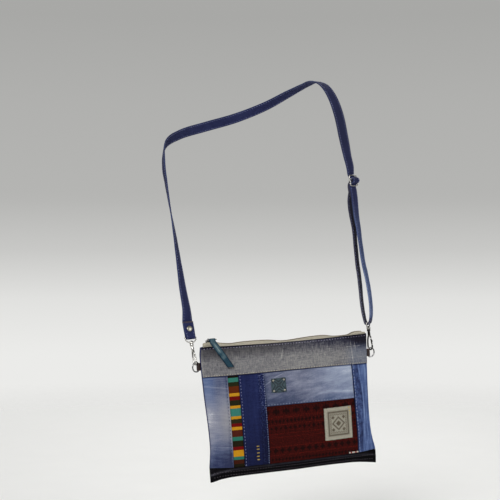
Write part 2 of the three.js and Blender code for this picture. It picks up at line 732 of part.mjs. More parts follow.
const eyes = {};
for (const { side, sign, z, turn, reach, gate, axis, eye } of HANGERS) {
  const edge = sign < 0 ? EDGES.left(z) : EDGES.right(z);
  const middle = (EDGES.behind(z) - edgeDepth(z) + DENIM + GAP) / 2;
  const bar = new THREE.Vector3(edge + sign * TAB_REACH, middle, z);
  const tab = add(bag, `side_tab_${side}`, sideTab(sign), 'brown_leather');
  tab.position.copy(bar);
  const ringShape = wire(ringRoute(), RING_WIRE, new THREE.Vector3(0, 1, 0), { ring: true });
  const ring = add(bag, `d_ring_${side}`, ringShape, 'nickel');
  ring.position.copy(bar);
  ring.rotation.z = radians(sign < 0 ? 180 + turn : -turn);

  const grip = new THREE.Vector3(reach, 0, ringTopAt(reach));
  grip.applyAxisAngle(new THREE.Vector3(0, 0, 1), ring.rotation.z).add(bar).applyMatrix4(bagFrame);
  const up = vec(axis).normalize();
  const seat = HOOK_BOTTOM + HOOK_WIRE + 2 * GAP + RING_WIRE;
  const place = grip.clone().addScaledVector(up, -seat);
  const body = new THREE.Group();
  const lateral = vec(gate);
  const look = new THREE.Vector3().crossVectors(up, lateral);
  body.applyMatrix4(axes(up, look).setPosition(place));
  add(body, `hook_${side}`, hookBody(), 'nickel');
  add(body, `hook_gate_${side}`, hookGate(), 'nickel');
  const head = new THREE.Group();
  const headAxes = axes(up, vec(eye));
  head.applyMatrix4(headAxes.clone().setPosition(place));
  add(head, `hook_eye_${side}`, hookEye(), 'nickel');
  piece.add(body, head);
  eyes[side] = { place, bar: new THREE.Vector3().setFromMatrixColumn(headAxes, 0) };
}

// Height of the ring's wire above its middle, at a distance from its bar
function ringTopAt(reach) {
  return RING_HALF_HEIGHT * Math.sqrt(1 - ((reach - 4) / (RING_DEPTH - 4)) ** 2);
}

// Strap: from the riveted tail at the left hook, up and over, through the slider, round the right hook's
// eye and back up to the slider's middle bar
function strapRoute() {
  const turn = EYE_WIRE + GAP + STRAP_THICK / 2;
  const half = STRAP_LAYER / 2;
  const step = (at, faces, width = STRAP_WIDTH) => ({ at, faces, width });

  // Frame with an origin, a direction along the strap and the outer face
  const frame = (origin, along, faces) => {
    const t = along.clone().normalize();
    const n = faces.clone().addScaledVector(t, -faces.dot(t)).normalize();
    return (up, out) => origin.clone().addScaledVector(t, up).addScaledVector(n, out);
  };

  // Frame at a hook's eye, square to its bar
  const endFrame = ({ place, bar }, along, faces) => {
    const t = along.clone().addScaledVector(bar, -along.dot(bar));
    const n = new THREE.Vector3().crossVectors(bar, t);
    return frame(place, t, n.multiplyScalar(Math.sign(n.dot(faces))));
  };

  const first = vec(STRAP_ROUTE[0].at);
  const leftFaces = vec(LEFT_EYE_FACES);
  const left = endFrame(eyes.left, first.clone().sub(eyes.left.place), leftFaces);
  const narrow = (up) => mix(STRAP_AT_EYE, STRAP_WIDTH, THREE.MathUtils.smoothstep(up, 2, 12));
  const taper = [[STRAP_TAIL, half], [20, half], [12, half + 0.05], [6, half + 0.5], [2, turn - 0.15]];
  const tail = taper.map(([up, out]) => step(left(up, -out), leftFaces.clone().negate(), narrow(up)));
  const leftTurn = steps(6).map((t) => {
    const a = Math.PI * t;
    const at = left(-turn * Math.sin(a), -turn * Math.cos(a));
    return step(at, at.clone().sub(eyes.left.place), STRAP_AT_EYE);
  });
  const climb = ([up, out]) => step(left(up, out), leftFaces.clone(), narrow(up));
  const rise = taper.slice().reverse().map(climb);

  const places = new THREE.CatmullRomCurve3([left(STRAP_TAIL, half), ...STRAP_ROUTE.map((r) => vec(r.at))]);
  const looks = new THREE.CatmullRomCurve3([leftFaces, ...STRAP_ROUTE.map((r) => vec(r.faces))]);
  const run = steps(72).slice(1, -1).map((t) => step(places.getPoint(t), looks.getPoint(t)));

  const middle = vec(SLIDER_PLACE);
  const slider = frame(middle, vec(SLIDER_UP), vec(SLIDER_FACES));
  const over = SLIDER_BAR + GAP + STRAP_THICK + GAP + STRAP_THICK / 2 + 0.12;
  const tall = over + SLIDER_ARCH;
  const under = SLIDER_WIRE + GAP + STRAP_THICK / 2 + 0.5;
  const face = vec(SLIDER_FACES);
  const lean = (out, up) => slider(up, out).sub(middle);
  const flat = ([up, out]) => step(slider(up, out), face.clone());
  const entry = [[22, -1.6, 0.3], [15, -2.3, 0.65], [SLIDER_HALF_LENGTH, -under, 1]];
  const above = entry.map(([up, out, share]) => {
    const faces = vec(STRAP_ROUTE.at(-1).faces).lerp(face, share);
    return step(slider(up, out), faces);
  });
  const arch = steps(8).map((t) => {
    const a = mix(radians(5), radians(175), t);
    return step(slider(over * Math.cos(a), tall * Math.sin(a)), lean(over * Math.sin(a), tall * Math.cos(a)));
  });
  const below = [[-SLIDER_HALF_LENGTH, -under], [-14, -under]].map(flat);

  const start = slider(-18, -under - STRAP_LAYER);
  const rightLine = eyes.right.place.clone().sub(start);
  const rightFaces = vec(RIGHT_EYE_FACES);
  const strand = (side) => steps(20).slice(0, -1).map((way) => {
    const faces = face.clone().lerp(vec(STRAND_FACES), THREE.MathUtils.smoothstep(way, 0, 0.4));
    faces.lerp(rightFaces, THREE.MathUtils.smoothstep(way, 0.6, 1));
    const centre = start.clone().addScaledVector(rightLine, way);
    const here = frame(centre.addScaledVector(vec(BOW), STRANDS.bow(way)), rightLine, faces);
    const width = mix(STRAP_WIDTH, STRAP_AT_EYE, THREE.MathUtils.smoothstep(way, 0.93, 0.98));
    return step(here(0, side * STRANDS.apart(way) / 2), faces.multiplyScalar(side), width);
  });
  const right = endFrame(eyes.right, rightLine.clone().negate(), rightFaces);
  const rightTurn = steps(6).map((t) => {
    const a = Math.PI * t;
    const at = right(STRAP_SLACK * (1 - Math.sin(a)) - turn, STRAP_SLACK * Math.cos(a));
    return step(at, at.clone().sub(right(STRAP_SLACK - turn, 0)), STRAP_AT_EYE);
  });

  // The end loops round the slider's middle bar and tucks in between the two strands
  const hold = SLIDER_BAR + GAP + STRAP_THICK / 2;
  const slope = new THREE.Vector2(
    SLIDER_HALF_LENGTH - over * Math.cos(radians(5)), -under - tall * Math.sin(radians(5)),
  ).normalize();
  const inside = (depth) => [
    [-over * Math.cos(radians(5)) - slope.y * depth, tall * Math.sin(radians(5)) - slope.x * depth],
    [-SLIDER_HALF_LENGTH - slope.y * depth, -under - slope.x * depth],
  ];
  const [backHigh, backLow] = inside(2 * STRAP_LAYER);
  const [tuckHigh, tuckLow] = inside(STRAP_LAYER);
  const turnedFlat = ([up, out]) => step(slider(up, out), face.clone().negate());
  const into = [[-13, -under - 2 * STRAP_LAYER], backLow, backHigh].map(turnedFlat);
  const loop = steps(6).map((t) => {
    const a = mix(-Math.PI / 2, Math.PI, t);
    return step(slider(hold * Math.cos(a), hold * Math.sin(a)), lean(Math.sin(a), Math.cos(a)));
  });
  const tuck = [tuckHigh, tuckLow, [-13, -under - STRAP_LAYER], [-26, -under - STRAP_LAYER]].map(flat);

  return {
    route: [
      ...tail, ...leftTurn.slice(1, -1), ...rise, ...run, ...above, ...arch, ...below,
      ...strand(1), ...rightTurn, ...strand(-1).reverse(), ...into, ...loop, ...tuck,
    ],
    left,
    slider,
  };
}

const { route: strapPath, left: leftEnd, slider: sliderFrame } = strapRoute();

// Rivet through both layers of the left end
const rivetUp = 13.2;
const rivetFace = STRAP_LAYER / 2 + STRAP_THICK / 2 + GAP;
const rivetFrame = axes(leftEnd(0, -1).sub(leftEnd(0, 0)), leftEnd(1, 0).sub(leftEnd(0, 0)))
  .setPosition(leftEnd(rivetUp, 0));
const rivetBore = RIVET_SHANK + GAP;
const rivetHole = turned([[0, -6], [rivetBore, -6], [rivetBore, 6], [0, 6]], 12);
const strapHole = rivetHole.applyMatrix4(rivetFrame);
add(piece, 'strap', cut(band(strapPath, STRAP_THICK), strapHole), 'indigo_denim');

const rivet = turned([
  [0, -rivetFace - 1], [RIVET - 0.6, -rivetFace - 1], [RIVET, -rivetFace - 0.5], [RIVET, -rivetFace],
  [RIVET_SHANK, -rivetFace], [RIVET_SHANK, rivetFace], [RIVET, rivetFace], [RIVET, rivetFace + 0.6],
  [RIVET * 0.75, rivetFace + 1.4], [0, rivetFace + 1.8],
], 14);
add(piece, 'strap_rivet', rivet.applyMatrix4(rivetFrame), 'nickel');

// Slider buckle: a wire frame with a middle bar
function sliderBuckle() {
  const outline = roundedLoop(SLIDER_HALF_WIDTH, SLIDER_HALF_LENGTH, 2.6, 28);
  const route = outline.map((p) => new THREE.Vector3(p.x, 0, p.y));
  const rim = wire(route, SLIDER_WIRE, new THREE.Vector3(0, 1, 0), { ring: true });
  const bar = new THREE.CylinderGeometry(SLIDER_BAR, SLIDER_BAR, 2 * SLIDER_HALF_WIDTH, 8);
  return joined(rim, bar.rotateZ(Math.PI / 2));
}
const buckle = add(piece, 'slider_buckle', sliderBuckle(), 'nickel');
buckle.applyMatrix4(axes(
  sliderFrame(1, 0).sub(sliderFrame(0, 0)), sliderFrame(0, 1).sub(sliderFrame(0, 0)),
).setPosition(vec(SLIDER_PLACE)));

export default piece;
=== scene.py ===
# %% [markdown]
# # A patchwork denim pouch on a crossbody strap
# The bag is a flat zip pouch, sewn from pieces of worn jeans, a striped ribbon and a printed cloth. It
# hangs by two swivel hooks on a long denim strap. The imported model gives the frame: every cloth and fitting
# made here lies where its plain solid lies, and rides on the same body.

# %% Load the frame
import math
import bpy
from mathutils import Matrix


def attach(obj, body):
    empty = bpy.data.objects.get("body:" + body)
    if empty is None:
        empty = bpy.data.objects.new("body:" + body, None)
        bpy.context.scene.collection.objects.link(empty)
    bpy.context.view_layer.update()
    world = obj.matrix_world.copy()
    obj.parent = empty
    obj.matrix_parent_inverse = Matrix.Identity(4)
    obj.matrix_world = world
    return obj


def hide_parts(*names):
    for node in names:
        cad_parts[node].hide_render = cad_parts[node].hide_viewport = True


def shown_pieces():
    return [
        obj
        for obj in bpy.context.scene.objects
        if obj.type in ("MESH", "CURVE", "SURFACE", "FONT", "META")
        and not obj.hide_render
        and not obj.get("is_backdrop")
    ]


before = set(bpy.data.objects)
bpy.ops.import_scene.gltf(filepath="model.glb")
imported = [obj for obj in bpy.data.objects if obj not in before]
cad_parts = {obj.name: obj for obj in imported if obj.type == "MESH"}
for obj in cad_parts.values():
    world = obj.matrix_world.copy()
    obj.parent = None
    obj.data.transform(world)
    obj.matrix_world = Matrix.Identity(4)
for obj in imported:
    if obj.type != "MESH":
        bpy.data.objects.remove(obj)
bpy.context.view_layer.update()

from types import SimpleNamespace

import bpy
import numpy as np
from mathutils import Vector

# %% [markdown]
# ## Camera
# The photograph is taken level, from the bag's front and a little to its left, with a long lens. The angle
# and the distance follow from the places of the hooks, the slider and the corners of the pouch in the
# picture.

# %% Camera
VIEW_TURN = math.radians(-16.6)
CAMERA_PLACE = (-0.6799, -1.9052, -0.2778)
SENSOR_MM, LENS_MM = 36, 87.7
camera = bpy.data.objects.new("camera", bpy.data.cameras.new("camera"))
camera.location = CAMERA_PLACE
camera.rotation_euler = (math.pi / 2, 0, VIEW_TURN)
camera.data.sensor_width = SENSOR_MM
camera.data.lens = LENS_MM
bpy.context.scene.collection.objects.link(camera)
bpy.context.scene.camera = camera
print("camera at", tuple(round(v, 3) for v in camera.location))

# %% [markdown]
# ## Stage
# A pale floor that fades out with distance, a plain grey room that is lighter below, and large soft lamps.
# The room is darker behind the camera, so that the nickel fittings have something dark to mirror.


# %% Stage and light
def lamp(name, place, aim, size, watts):
    light = bpy.data.lights.new(name, "AREA")
    light.shape = "DISK"
    light.size = size
    light.energy = watts
    holder = bpy.data.objects.new(name, light)
    holder.location = place
    direction = Vector(aim) - Vector(place)
    holder.rotation_euler = direction.to_track_quat("-Z", "Y").to_euler()
    bpy.context.scene.collection.objects.link(holder)


POUCH = (-0.09, -0.1, -0.5)
lamp("key_lamp", (-1.5, -2.1, 0.9), POUCH, 1.3, 64)
lamp("fill_lamp", (1.5, -1.9, 0.3), POUCH, 1.4, 24)
lamp("back_lamp", (0.5, 1.6, 1.1), (-0.1, 0, -0.3), 1.6, 30)
print("lamps:", [light.name for light in bpy.data.lights])

# %% [markdown]
# ## Shader sums
# Every finish below is a sum of patterns: a fade, some slubs, a weave. A small class wraps one socket, so
# that such a sum is written as a Python expression and adds its Math nodes by itself. Colours go through
# Mix nodes instead.


# %% Shader sums
class Shade:
    tree = None

    def __init__(self, socket):
        self.socket = socket

    @classmethod
    def node(cls, kind, settings, sockets, out=0):
        made = cls.tree.nodes.new("ShaderNode" + kind)
        for key, value in settings.items():
            if key == "stops":
                set_stops(made.color_ramp, value)
            elif key == "steps":
                made.color_ramp.interpolation = value
            else:
                setattr(made, key, value)
        for key, value in sockets.items():
            if isinstance(value, Shade):
                cls.tree.links.new(value.socket, made.inputs[key])
            else:
                made.inputs[key].default_value = value
        return cls(made.outputs[out])

    def math(self, operation, other=0.0, third=0.0):
        return Shade.node("Math", {"operation": operation}, {0: self, 1: other, 2: third})

    def __add__(self, other):
        return self.math("ADD", other)

    def __sub__(self, other):
        return self.math("SUBTRACT", other)

    def __mul__(self, other):
        return self.math("MULTIPLY", other)

    def __truediv__(self, other):
        return self.math("DIVIDE", other)

    def __rsub__(self, other):
        return Shade.node("Math", {"operation": "SUBTRACT"}, {0: other, 1: self})

    __radd__ = __add__
    __rmul__ = __mul__

    def __abs__(self):
        return self.math("ABSOLUTE")

    def part(self, pitch):
        return (self / pitch).math("FRACT") * pitch - pitch / 2

    def step(self, low, high):
        sockets = {"Value": self, "From Min": low, "From Max": high}
        return Shade.node("MapRange", {"interpolation_type": "SMOOTHSTEP"}, sockets)

    def ridge(self, middle, width):
        return 1 - abs(self - middle).step(0.0, width)


print("shader sums ready")

# %% [markdown]
# ## Colours, patterns and coats
# Colours are written as web codes and turned into linear light. Noise gives every uneven pattern. Its
# places come from the cloth's UV map or from Object coordinates, both in millimetres. A coat links the
# finished sums to the shader, and sends the height of the pattern through a Bump node.

# %% Colours, patterns and coats
MM = 0.001


def set_stops(ramp, stops):
    while len(ramp.elements) < len(stops):
        ramp.elements.new(1.0)
    for element, (place, tone) in zip(ramp.elements, stops):
        element.position = place
        element.color = paint(tone)


def paint(tone):
    parts = [int(tone[i : i + 2], 16) / 255 for i in (1, 3, 5)]
    return tuple(p / 12.92 if p < 0.04045 else ((p + 0.055) / 1.055) ** 2.4 for p in parts) + (1.0,)


def mixed(a, b, share):
    a, b = (paint(c) if isinstance(c, str) else c for c in (a, b))
    return Shade.node("Mix", {"data_type": "RGBA"}, {0: share, 6: a, 7: b}, out=2)


def ramp(value, *stops, steps="LINEAR"):
    return Shade.node("ValToRGB", {"stops": stops, "steps": steps}, {"Fac": value})


def noise(x, y, seed, detail=2.0, rough=0.55):
    place = Shade.node("CombineXYZ", {}, {0: x, 1: y, 2: float(seed)})
    sockets = {"Vector": place, "Scale": 1.0, "Detail": detail, "Roughness": rough}
    return Shade.node("TexNoise", {}, sockets) * 2 - 1


def on_cloth():
    place = Shade.node("UVMap", {"uv_map": "cloth"}, {})
    return tuple(Shade.node("SeparateXYZ", {}, {0: place}, out=i) for i in (0, 1))


def in_space():
    place = Shade.node("TexCoord", {}, {}, out=3)
    return tuple(Shade.node("SeparateXYZ", {}, {0: place}, out=i) * (1 / MM) for i in (0, 1, 2))


def begin(name):
    material = bpy.data.materials.new(name)
    material.use_nodes = True
    Shade.tree = material.node_tree
    return material


def coat(colour, roughness, height, depth_mm, **constants):
    shader = Shade.tree.nodes["Principled BSDF"]
    for key, value in constants.items():
        shader.inputs[key.replace("_", " ")].default_value = value
    bump = Shade.node("Bump", {}, {"Height": height, "Distance": depth_mm * MM})
    links = {"Base Color": colour, "Roughness": roughness, "Normal": bump}
    for key, value in links.items():
        if isinstance(value, Shade):
            Shade.tree.links.new(value.socket, shader.inputs[key])
        else:
            shader.inputs[key].default_value = value


print("coats ready")

# %% [markdown]
# ## Denim
# Denim is a twill: dyed threads run down the cloth and pale ones cross under them, so it shows fine
# slanting ribs, long upright streaks where a thread is thick, and pale places where wear has opened the
# dye. One function makes that cloth. Each panel gives its own colours and its own map of wear, written in
# millimetres on the cloth.


# %% Denim cloth
FULL_TURN = 6.2832


def twill(x, z):
    slant = ((x * 0.85 + z * 1.5) * FULL_TURN).math("SINE")
    thread = (x * 8.4).math("SINE")
    return slant * 0.6 + thread * 0.4


CLOTH = {"Sheen_Weight": 0.02, "Sheen_Roughness": 0.5, "Specular_IOR_Level": 0.1}


def denim(
    name, stops, wear, streak=0.1, cross=0.05, grain=0.1, cloud=0.08, slub=(0.75, 0.06), tints=(), gloss=0.1
):
    material = begin(name)
    x, z = on_cloth()
    ribs = twill(x, z)
    upright = noise(x * slub[0], z * slub[1], 3, 3.0, 0.6)
    crosswise = noise(x * 0.08, z * 0.7, 11, 2.0)
    flecks = noise(x * 1.1, z * 0.8, 23, 2.0, 0.7)
    clouds = noise(x * 0.045, z * 0.045, 31, 2.0)
    level = wear(x, z) + upright * streak + crosswise * cross + flecks * grain + clouds * cloud
    level = level + ribs * 0.035
    height = ribs * 0.5 + upright * 0.6 + flecks * 0.5
    colour = ramp(level, *stops)
    for tone, share in tints:
        colour = mixed(colour, tone, share(x, z))
    coat(colour, 0.92 - upright * 0.04, height, 0.16, **{**CLOTH, "Specular_IOR_Level": gloss})
    return material


print("denim ready")

# %% [markdown]
# ## Top band
# The band is black denim washed to grey. It keeps its dye under the zip and in the right corner, and fades
# downwards; near the zip pull, on the left, that dark top is partly a painted shadow of the pull. A plain
# gradient would look sprayed on, so noise breaks the fade into streaks, and narrow ridges are the worn
# creases.


# %% Wear of the top band
def band_seam(x):
    return x.step(20.0, 150.0) * -2.6 - 45.2


def band_wear(x, z):
    reach = x.step(50.0, 110.0) * 4 + 25
    below = z * -1 + noise(x * 0.5, z * 0.05, 5, 3.0) * 9
    # dark top: kept dye, and near the zip pull on the left partly a painted shadow of the pull
    dye_and_pull_shadow = (1 - (below / reach).step(0.0, 1.0)) * (x.step(30.0, 110.0) * 0.1 + 0.28)
    # painted shade: a dark line just under the top edge, where the folded edge would shade it
    rim = 1 - (z * -1).step(0.8, 2.6)
    corner = (x + z * 0.9).step(84.0, 116.0) * (1 - (z * -1).step(15.0, 30.0))
    broken = noise(x * 0.22, z * 0.22, 77, 2.0).step(-0.35, 0.25)
    crease = z.ridge(-35.6, 1.0) * x.step(66.0, 100.0) * 0.22
    crease = crease + z.ridge(-17.8, 1.0) * x.step(92.0, 100.0) * 0.34
    crease = (crease + z.ridge(-24.0, 0.8) * x.ridge(20.0, 60.0) * 0.14) * broken
    line = (x + z * 0.06).ridge(105.0, 1.3) * (z * -1).step(4.0, 16.0) * 0.3 * (broken * 0.5 + 0.5)
    line = line + (x + z * 0.1).ridge(111.0, 1.2) * z.ridge(-16.0, 12.0) * 0.3
    scratch = (x - z * 0.28).ridge(-5.0, 1.4) * z.ridge(-18.0, 14.0) * 0.3
    edge = (1 - (x + 136.6).step(0.0, 3.4)) * 0.12
    left = (1 - x.step(-112.0, -80.0)) * 0.03
    glow = x.ridge(25.0, 80.0) * (z * -1).step(18.0, 36.0) * 0.05
    # painted shade: a dark line along the band's lapped foot, over the seam
    foot = (z - band_seam(x)).ridge(0.4, 0.9) * 0.4
    return 0.51 - dye_and_pull_shadow - rim * 0.34 - corner * 0.3 + crease + line + scratch + edge + glow - left - foot


def blue_end(x, z):
    return x.step(88.0, 114.0) * (1 - z.step(-26.0, -12.0)) * 0.3


def neutral_top(x, z):
    left = 1 - x.step(-50.0, 60.0)
    return left * z.step(-26.0, -8.0) * (1 - z.step(-3.2, -1.8)) * 0.45


GREY_TINTS = [("#4f5f7c", blue_end), ("#4a4844", neutral_top)]
GREY_DENIM = denim(
    "washed_black_denim",
    [(0.0, "#15141f"), (0.22, "#2d2e3c"), (0.45, "#636266"), (0.7, "#8c8b88"), (1.0, "#bcbab4")],
    band_wear, streak=0.26, cross=0.2, grain=0.26, slub=(0.62, 0.13),
    tints=GREY_TINTS,
)
print("finish:", GREY_DENIM.name)

# %% [markdown]
# ## Faded panels
# The left and centre panels come from much washed blue jeans. They are rubbed pale in places, and whiskers,
# the thin pale lines of a worn crease, run across them. One ramp gives one row of tones, so tints move
# single zones to another tone.


# %% Wear of the faded panels
# painted shade: each panel is darkened just under the band seam, where the band's lapped edge would shade it
def shade_under_band(x, z):
    return 1 - (band_seam(x) - z).step(0.4, 1.8)


def left_wear(x, z):
    middle = z.ridge(-108.0, 62.0) * 0.28
    foot = (z * -1).step(142.0, 186.0) * (x.step(-118.0, -104.0) * 0.08 + 0.3)
    edge = (1 - (x + 131.0).step(0.0, 9.0)) * 0.1
    edge = edge + (1 - (x + 126.0).step(0.0, 12.0)) * z.ridge(-115.0, 45.0) * 0.14
    drag = noise((x + z * 0.1) * 0.03, (z + x * 0.12) * 0.22, 41, 3.0) * 0.22
    whisker = (z + x * 0.16).ridge(-80.2, 1.5) * 0.2 + (z + x * 0.11).ridge(-166.0, 1.4) * 0.18
    lip = (x + 104.6).step(0.0, 1.4) * (1 - (x + 101.6).step(0.0, 1.0)) * -0.12
    lip = lip + (x + 101.0).step(0.0, 1.5) * 0.14
    # painted shade under the band seam
    head = shade_under_band(x, z)
    return 0.34 + middle - foot + edge + drag + whisker + lip - head * 0.4


LEFT_STOPS = [(0.0, "#232a4a"), (0.3, "#49526e"), (0.55, "#6f7488"), (0.8, "#888a96"), (1.0, "#bbbdc5")]
LEFT_TINTS = [
    ("#3f6296", lambda x, z: (1 - (x + 130.0).step(0.0, 16.0)) * z.step(-112.0, -62.0) * 0.34),
    ("#8d8985", lambda x, z: x.step(-124.0, -104.0) * z.ridge(-114.0, 54.0) * 0.46),
    ("#4a4852", lambda x, z: x.step(-122.0, -104.0) * z.step(-88.0, -62.0) * 0.2),
    ("#35343f", lambda x, z: x.step(-122.0, -104.0) * (1 - z.step(-172.0, -150.0)) * 0.2),
]
LEFT_DENIM = denim(
    "faded_denim_left", LEFT_STOPS, left_wear, cross=0.15, grain=0.24, cloud=0.14, tints=LEFT_TINTS
)


def centre_wear(x, z):
    right = x.step(-20.0, 100.0) * 0.28
    shine = x.step(30.0, 95.0) * z.step(-76.0, -54.0) * 0.16
    shine = shine + x.ridge(8.0, 50.0) * z.step(-88.0, -64.0) * 0.1
    arc = z - (x.step(0.0, 62.0) * 15 - x.step(60.0, 110.0) * 5 - 100) + noise(x * 0.05, z * 0.05, 45) * 3
    below = (1 - arc.step(-4.0, 2.0)) * 0.19
    crease = arc.ridge(1.6, 3.0) * x.step(5.0, 60.0) * 0.11
    low_left = (1 - x.step(-10.0, 50.0)) * (1 - z.step(-98.0, -78.0)) * 0.18
    drag = noise((x - z * 0.4) * 0.035, (z - x * 0.1) * 0.12, 47, 4.0, 0.6) * 0.34
    whisker = (z - x * 0.55).ridge(-42.0, 1.4) * x.ridge(-34.0, 14.0) * 0.3
    whisker = whisker + (z - x * 0.35).ridge(-45.5, 1.2) * x.ridge(-20.0, 22.0) * 0.25
    seam = (1 - (x + 40.5).step(0.0, 6.0)) * 0.1
    # painted shade under the band seam
    head = shade_under_band(x, z)
    return 0.38 + right + shine - below - low_left + crease + drag + whisker - seam - head * 0.4


CENTRE_STOPS = [(0.0, "#202643"), (0.3, "#444b63"), (0.55, "#6f7386"), (0.8, "#9096a4"), (1.0, "#bdc1ca")]
CENTRE_TINTS = [("#6b90c4", lambda x, z: x.step(10.0, 95.0) * 0.14)]
CENTRE_DENIM = denim(
    "faded_denim_centre", CENTRE_STOPS, centre_wear, streak=0.08, cross=0.1, grain=0.25, tints=CENTRE_TINTS
)
print("finishes:", LEFT_DENIM.name, CENTRE_DENIM.name)

# %% [markdown]
# ## Indigo strip and back
# These two cloths kept most of their dye. The strip ends in a felled seam at its right, where several
# layers lie on each other, so wear turns pale and dark there by turns, like a rope. The back is plain, with
# a soft rub in its middle.


# %% Wear of the indigo strip and the back
def indigo_wear(x, z):
    place = x - (z + 45) * -0.0106
    rope = noise(x * 0.55 + z * 0.16, z * 0.48, 53, 2.0, 0.7)
    zone = place.step(-55.5, -51.0) * (1 - place.step(-44.0, -41.5))
    pale = (zone + place.ridge(-42.2, 1.6)) * rope.step(0.04, 0.3) * 0.38
    fell = place.step(-54.5, -50.0) * (rope.step(-0.3, 0.1) - 0.8) * 0.34
    lower = (z * -1).step(66.0, 130.0)
    fade = noise(x * 0.22, z * 0.012, 55, 3.0) * 0.16 - (z * -1).step(90.0, 180.0) * 0.15
    fade = fade - lower * place.step(-54.5, -50.0) * 0.19
    lip = (1 - (x + 81.5).step(0.0, 2.0)) * 0.12
    # painted shade under the band seam
    head = shade_under_band(x, z)
    return 0.29 + pale + fell + fade + lip - head * 0.2


INDIGO_STOPS = [
    (0.0, "#080b25"), (0.3, "#181f45"), (0.6, "#303b66"), (0.8, "#69728f"), (1.0, "#a2a9bc"),
]
INDIGO_DENIM = denim("dark_indigo_denim", INDIGO_STOPS, indigo_wear, streak=0.12, cross=0.16, grain=0.3)


def back_wear(x, z):
    drift = noise(x * 0.02, z * 0.02, 59, 3.0) * 0.14 + noise(x * 0.22, z * 0.012, 65, 3.0) * 0.16
    rubbed = x.ridge(0.0, 130.0) * z.ridge(-110.0, 90.0) * 0.1
    return 0.25 + drift + rubbed


BACK_STOPS = [(0.0, "#12163a"), (0.3, "#242a59"), (0.6, "#3d4876"), (1.0, "#8b94b4")]
BACK_DENIM = denim("back_denim", BACK_STOPS, back_wear, streak=0.14, cross=0.1, grain=0.2)
print("finishes:", INDIGO_DENIM.name, BACK_DENIM.name)

# %% [markdown]
# ## Right strip and hem
# The right strip is mid blue denim with a darker, blotched lap along its left side, and a thin dark line of
# painted shade beside its folded edge. The band below is black denim, paler along the lip where its edge is
# folded. Both are the same cloth function with other tables.


# %% Wear of the right strip and the hem
def strip_wear(x, z):
    place = x - (z + 45) * -0.0255
    turn = place - z.ridge(-104.0, 84.0) * 6
    lap = 1 - turn.step(111.5, 114.0)
    blotch = noise(x * 0.2, z * 0.13, 61, 3.0, 0.6).step(-0.15, 0.2)
    upright = noise(x * 0.24, z * 0.014, 67, 3.0, 0.65) * 0.56
    worn = place.ridge(106.6, 1.1) * (0.24 + noise(x, z * 0.5, 63) * 0.3) + turn.ridge(114.6, 2.2) * 0.1
    # painted shade: a dark line beside the strip's folded left edge
    dark = 1 - place.step(104.6, 105.8)
    # painted shade under the band seam
    head = shade_under_band(x, z)
    low = (z * -1).step(120.0, 175.0) * 0.1
    high = z.step(-96.0, -60.0) * 0.07
    return 0.47 + upright - lap * (0.12 + blotch * 0.2) + worn - dark * 0.34 - head * 0.3 + low + high


STRIP_STOPS = [(0.0, "#191f3c"), (0.3, "#2e3a60"), (0.55, "#4a5c87"), (0.8, "#7083a8"), (1.0, "#a6b2ca")]
STRIP_DENIM = denim("mid_blue_denim", STRIP_STOPS, strip_wear, streak=0.16, cross=0.1, grain=0.2, cloud=0.14)


def hem_wear(x, z):
    lip = z.ridge(-188.0, 1.6) * 0.3
    fold = z.ridge(-193.5, 1.4) * 0.1
    grey = (1 - x.step(-128.0, -70.0)) * z.step(-193.0, -188.0) * 0.14
    return 0.13 + lip + fold + grey


BLACK_STOPS = [(0.0, "#020203"), (0.25, "#09080b"), (0.5, "#232228"), (1.0, "#7b7982")]
BLACK_DENIM = denim("black_denim", BLACK_STOPS, hem_wear, streak=0.14, grain=0.3, gloss=0.03)
print("finishes:", STRIP_DENIM.name, BLACK_DENIM.name)

# %% [markdown]
# ## Strap denim
# The strap is one strip, so its finish is written along its length, x, and across it, z: painted shade
# over the top, painted light down the front, a painted grey shade on the strand that runs back up behind,
# and frayed and brownish at the cut end.


# %% Wear of the strap
def strap_wear(x, z):
    long = noise(x * 0.012, z * 0.02, 71, 2.0) * 0.12
    rim = (abs(z) - 7.2).step(0.0, 1.4) * 0.1
    # painted light: paler down the front, where the strap hangs in the light
    pale = (x.step(975.0, 1045.0) * 0.2 + x.step(1050.0, 1150.0) * 0.16) * (1 - x.step(1168.0, 1182.0))
    return 0.27 + long + rim + pale


# painted shade: the strand that runs back up behind is greyed and darkened
def shade_on_back_strand(x, z):
    return x.step(1170.0, 1186.0) * 0.75


def strap_fray(x, z):
    ragged = x + noise(x * 0.6, z * 0.5, 73, 3.0) * 3.2
    return (1 - ragged.step(0.6, 2.2)) * 0.85


# painted shade: darker where the strap goes over the top
def strap_top_shade(x, z):
    return x.ridge(855.0, 130.0) * 0.5


# painted shade: a lighter grey shade low on the strand behind
def low_shade_on_back_strand(x, z):
    return x.step(1174.0, 1190.0) * (1 - x.step(1215.0, 1300.0)) * 0.55


STRAP_STOPS = [(0.0, "#111328"), (0.3, "#25294c"), (0.6, "#4a587c"), (1.0, "#8e9ab4")]
# tints: painted shade over the top and on the strand behind, and the frayed cut end
STRAP_TINTS = [
    ("#38353f", shade_on_back_strand), ("#63636e", low_shade_on_back_strand), ("#1f1f2c", strap_top_shade), ("#54473d", strap_fray),
]
STRAP_DENIM = denim(
    "strap_denim", STRAP_STOPS, strap_wear, streak=0.04, cross=0.09, grain=0.16, tints=STRAP_TINTS
)
print("denim cloths:", sum(m.name.endswith("denim") or "denim_" in m.name for m in bpy.data.materials))

# %% [markdown]
# ## Ribbon and printed cloth
# The ribbon is woven in cross stripes, so a stepped ramp along its length holds them. The printed cloth
# carries rows of small dark figures, as block prints have: each row repeats one figure at its own pitch,
# cut out of the sizes of its half width and half height.


# %% Ribbon and print
RIBBON_TOP, RIBBON_LENGTH = -45.3, 140.0
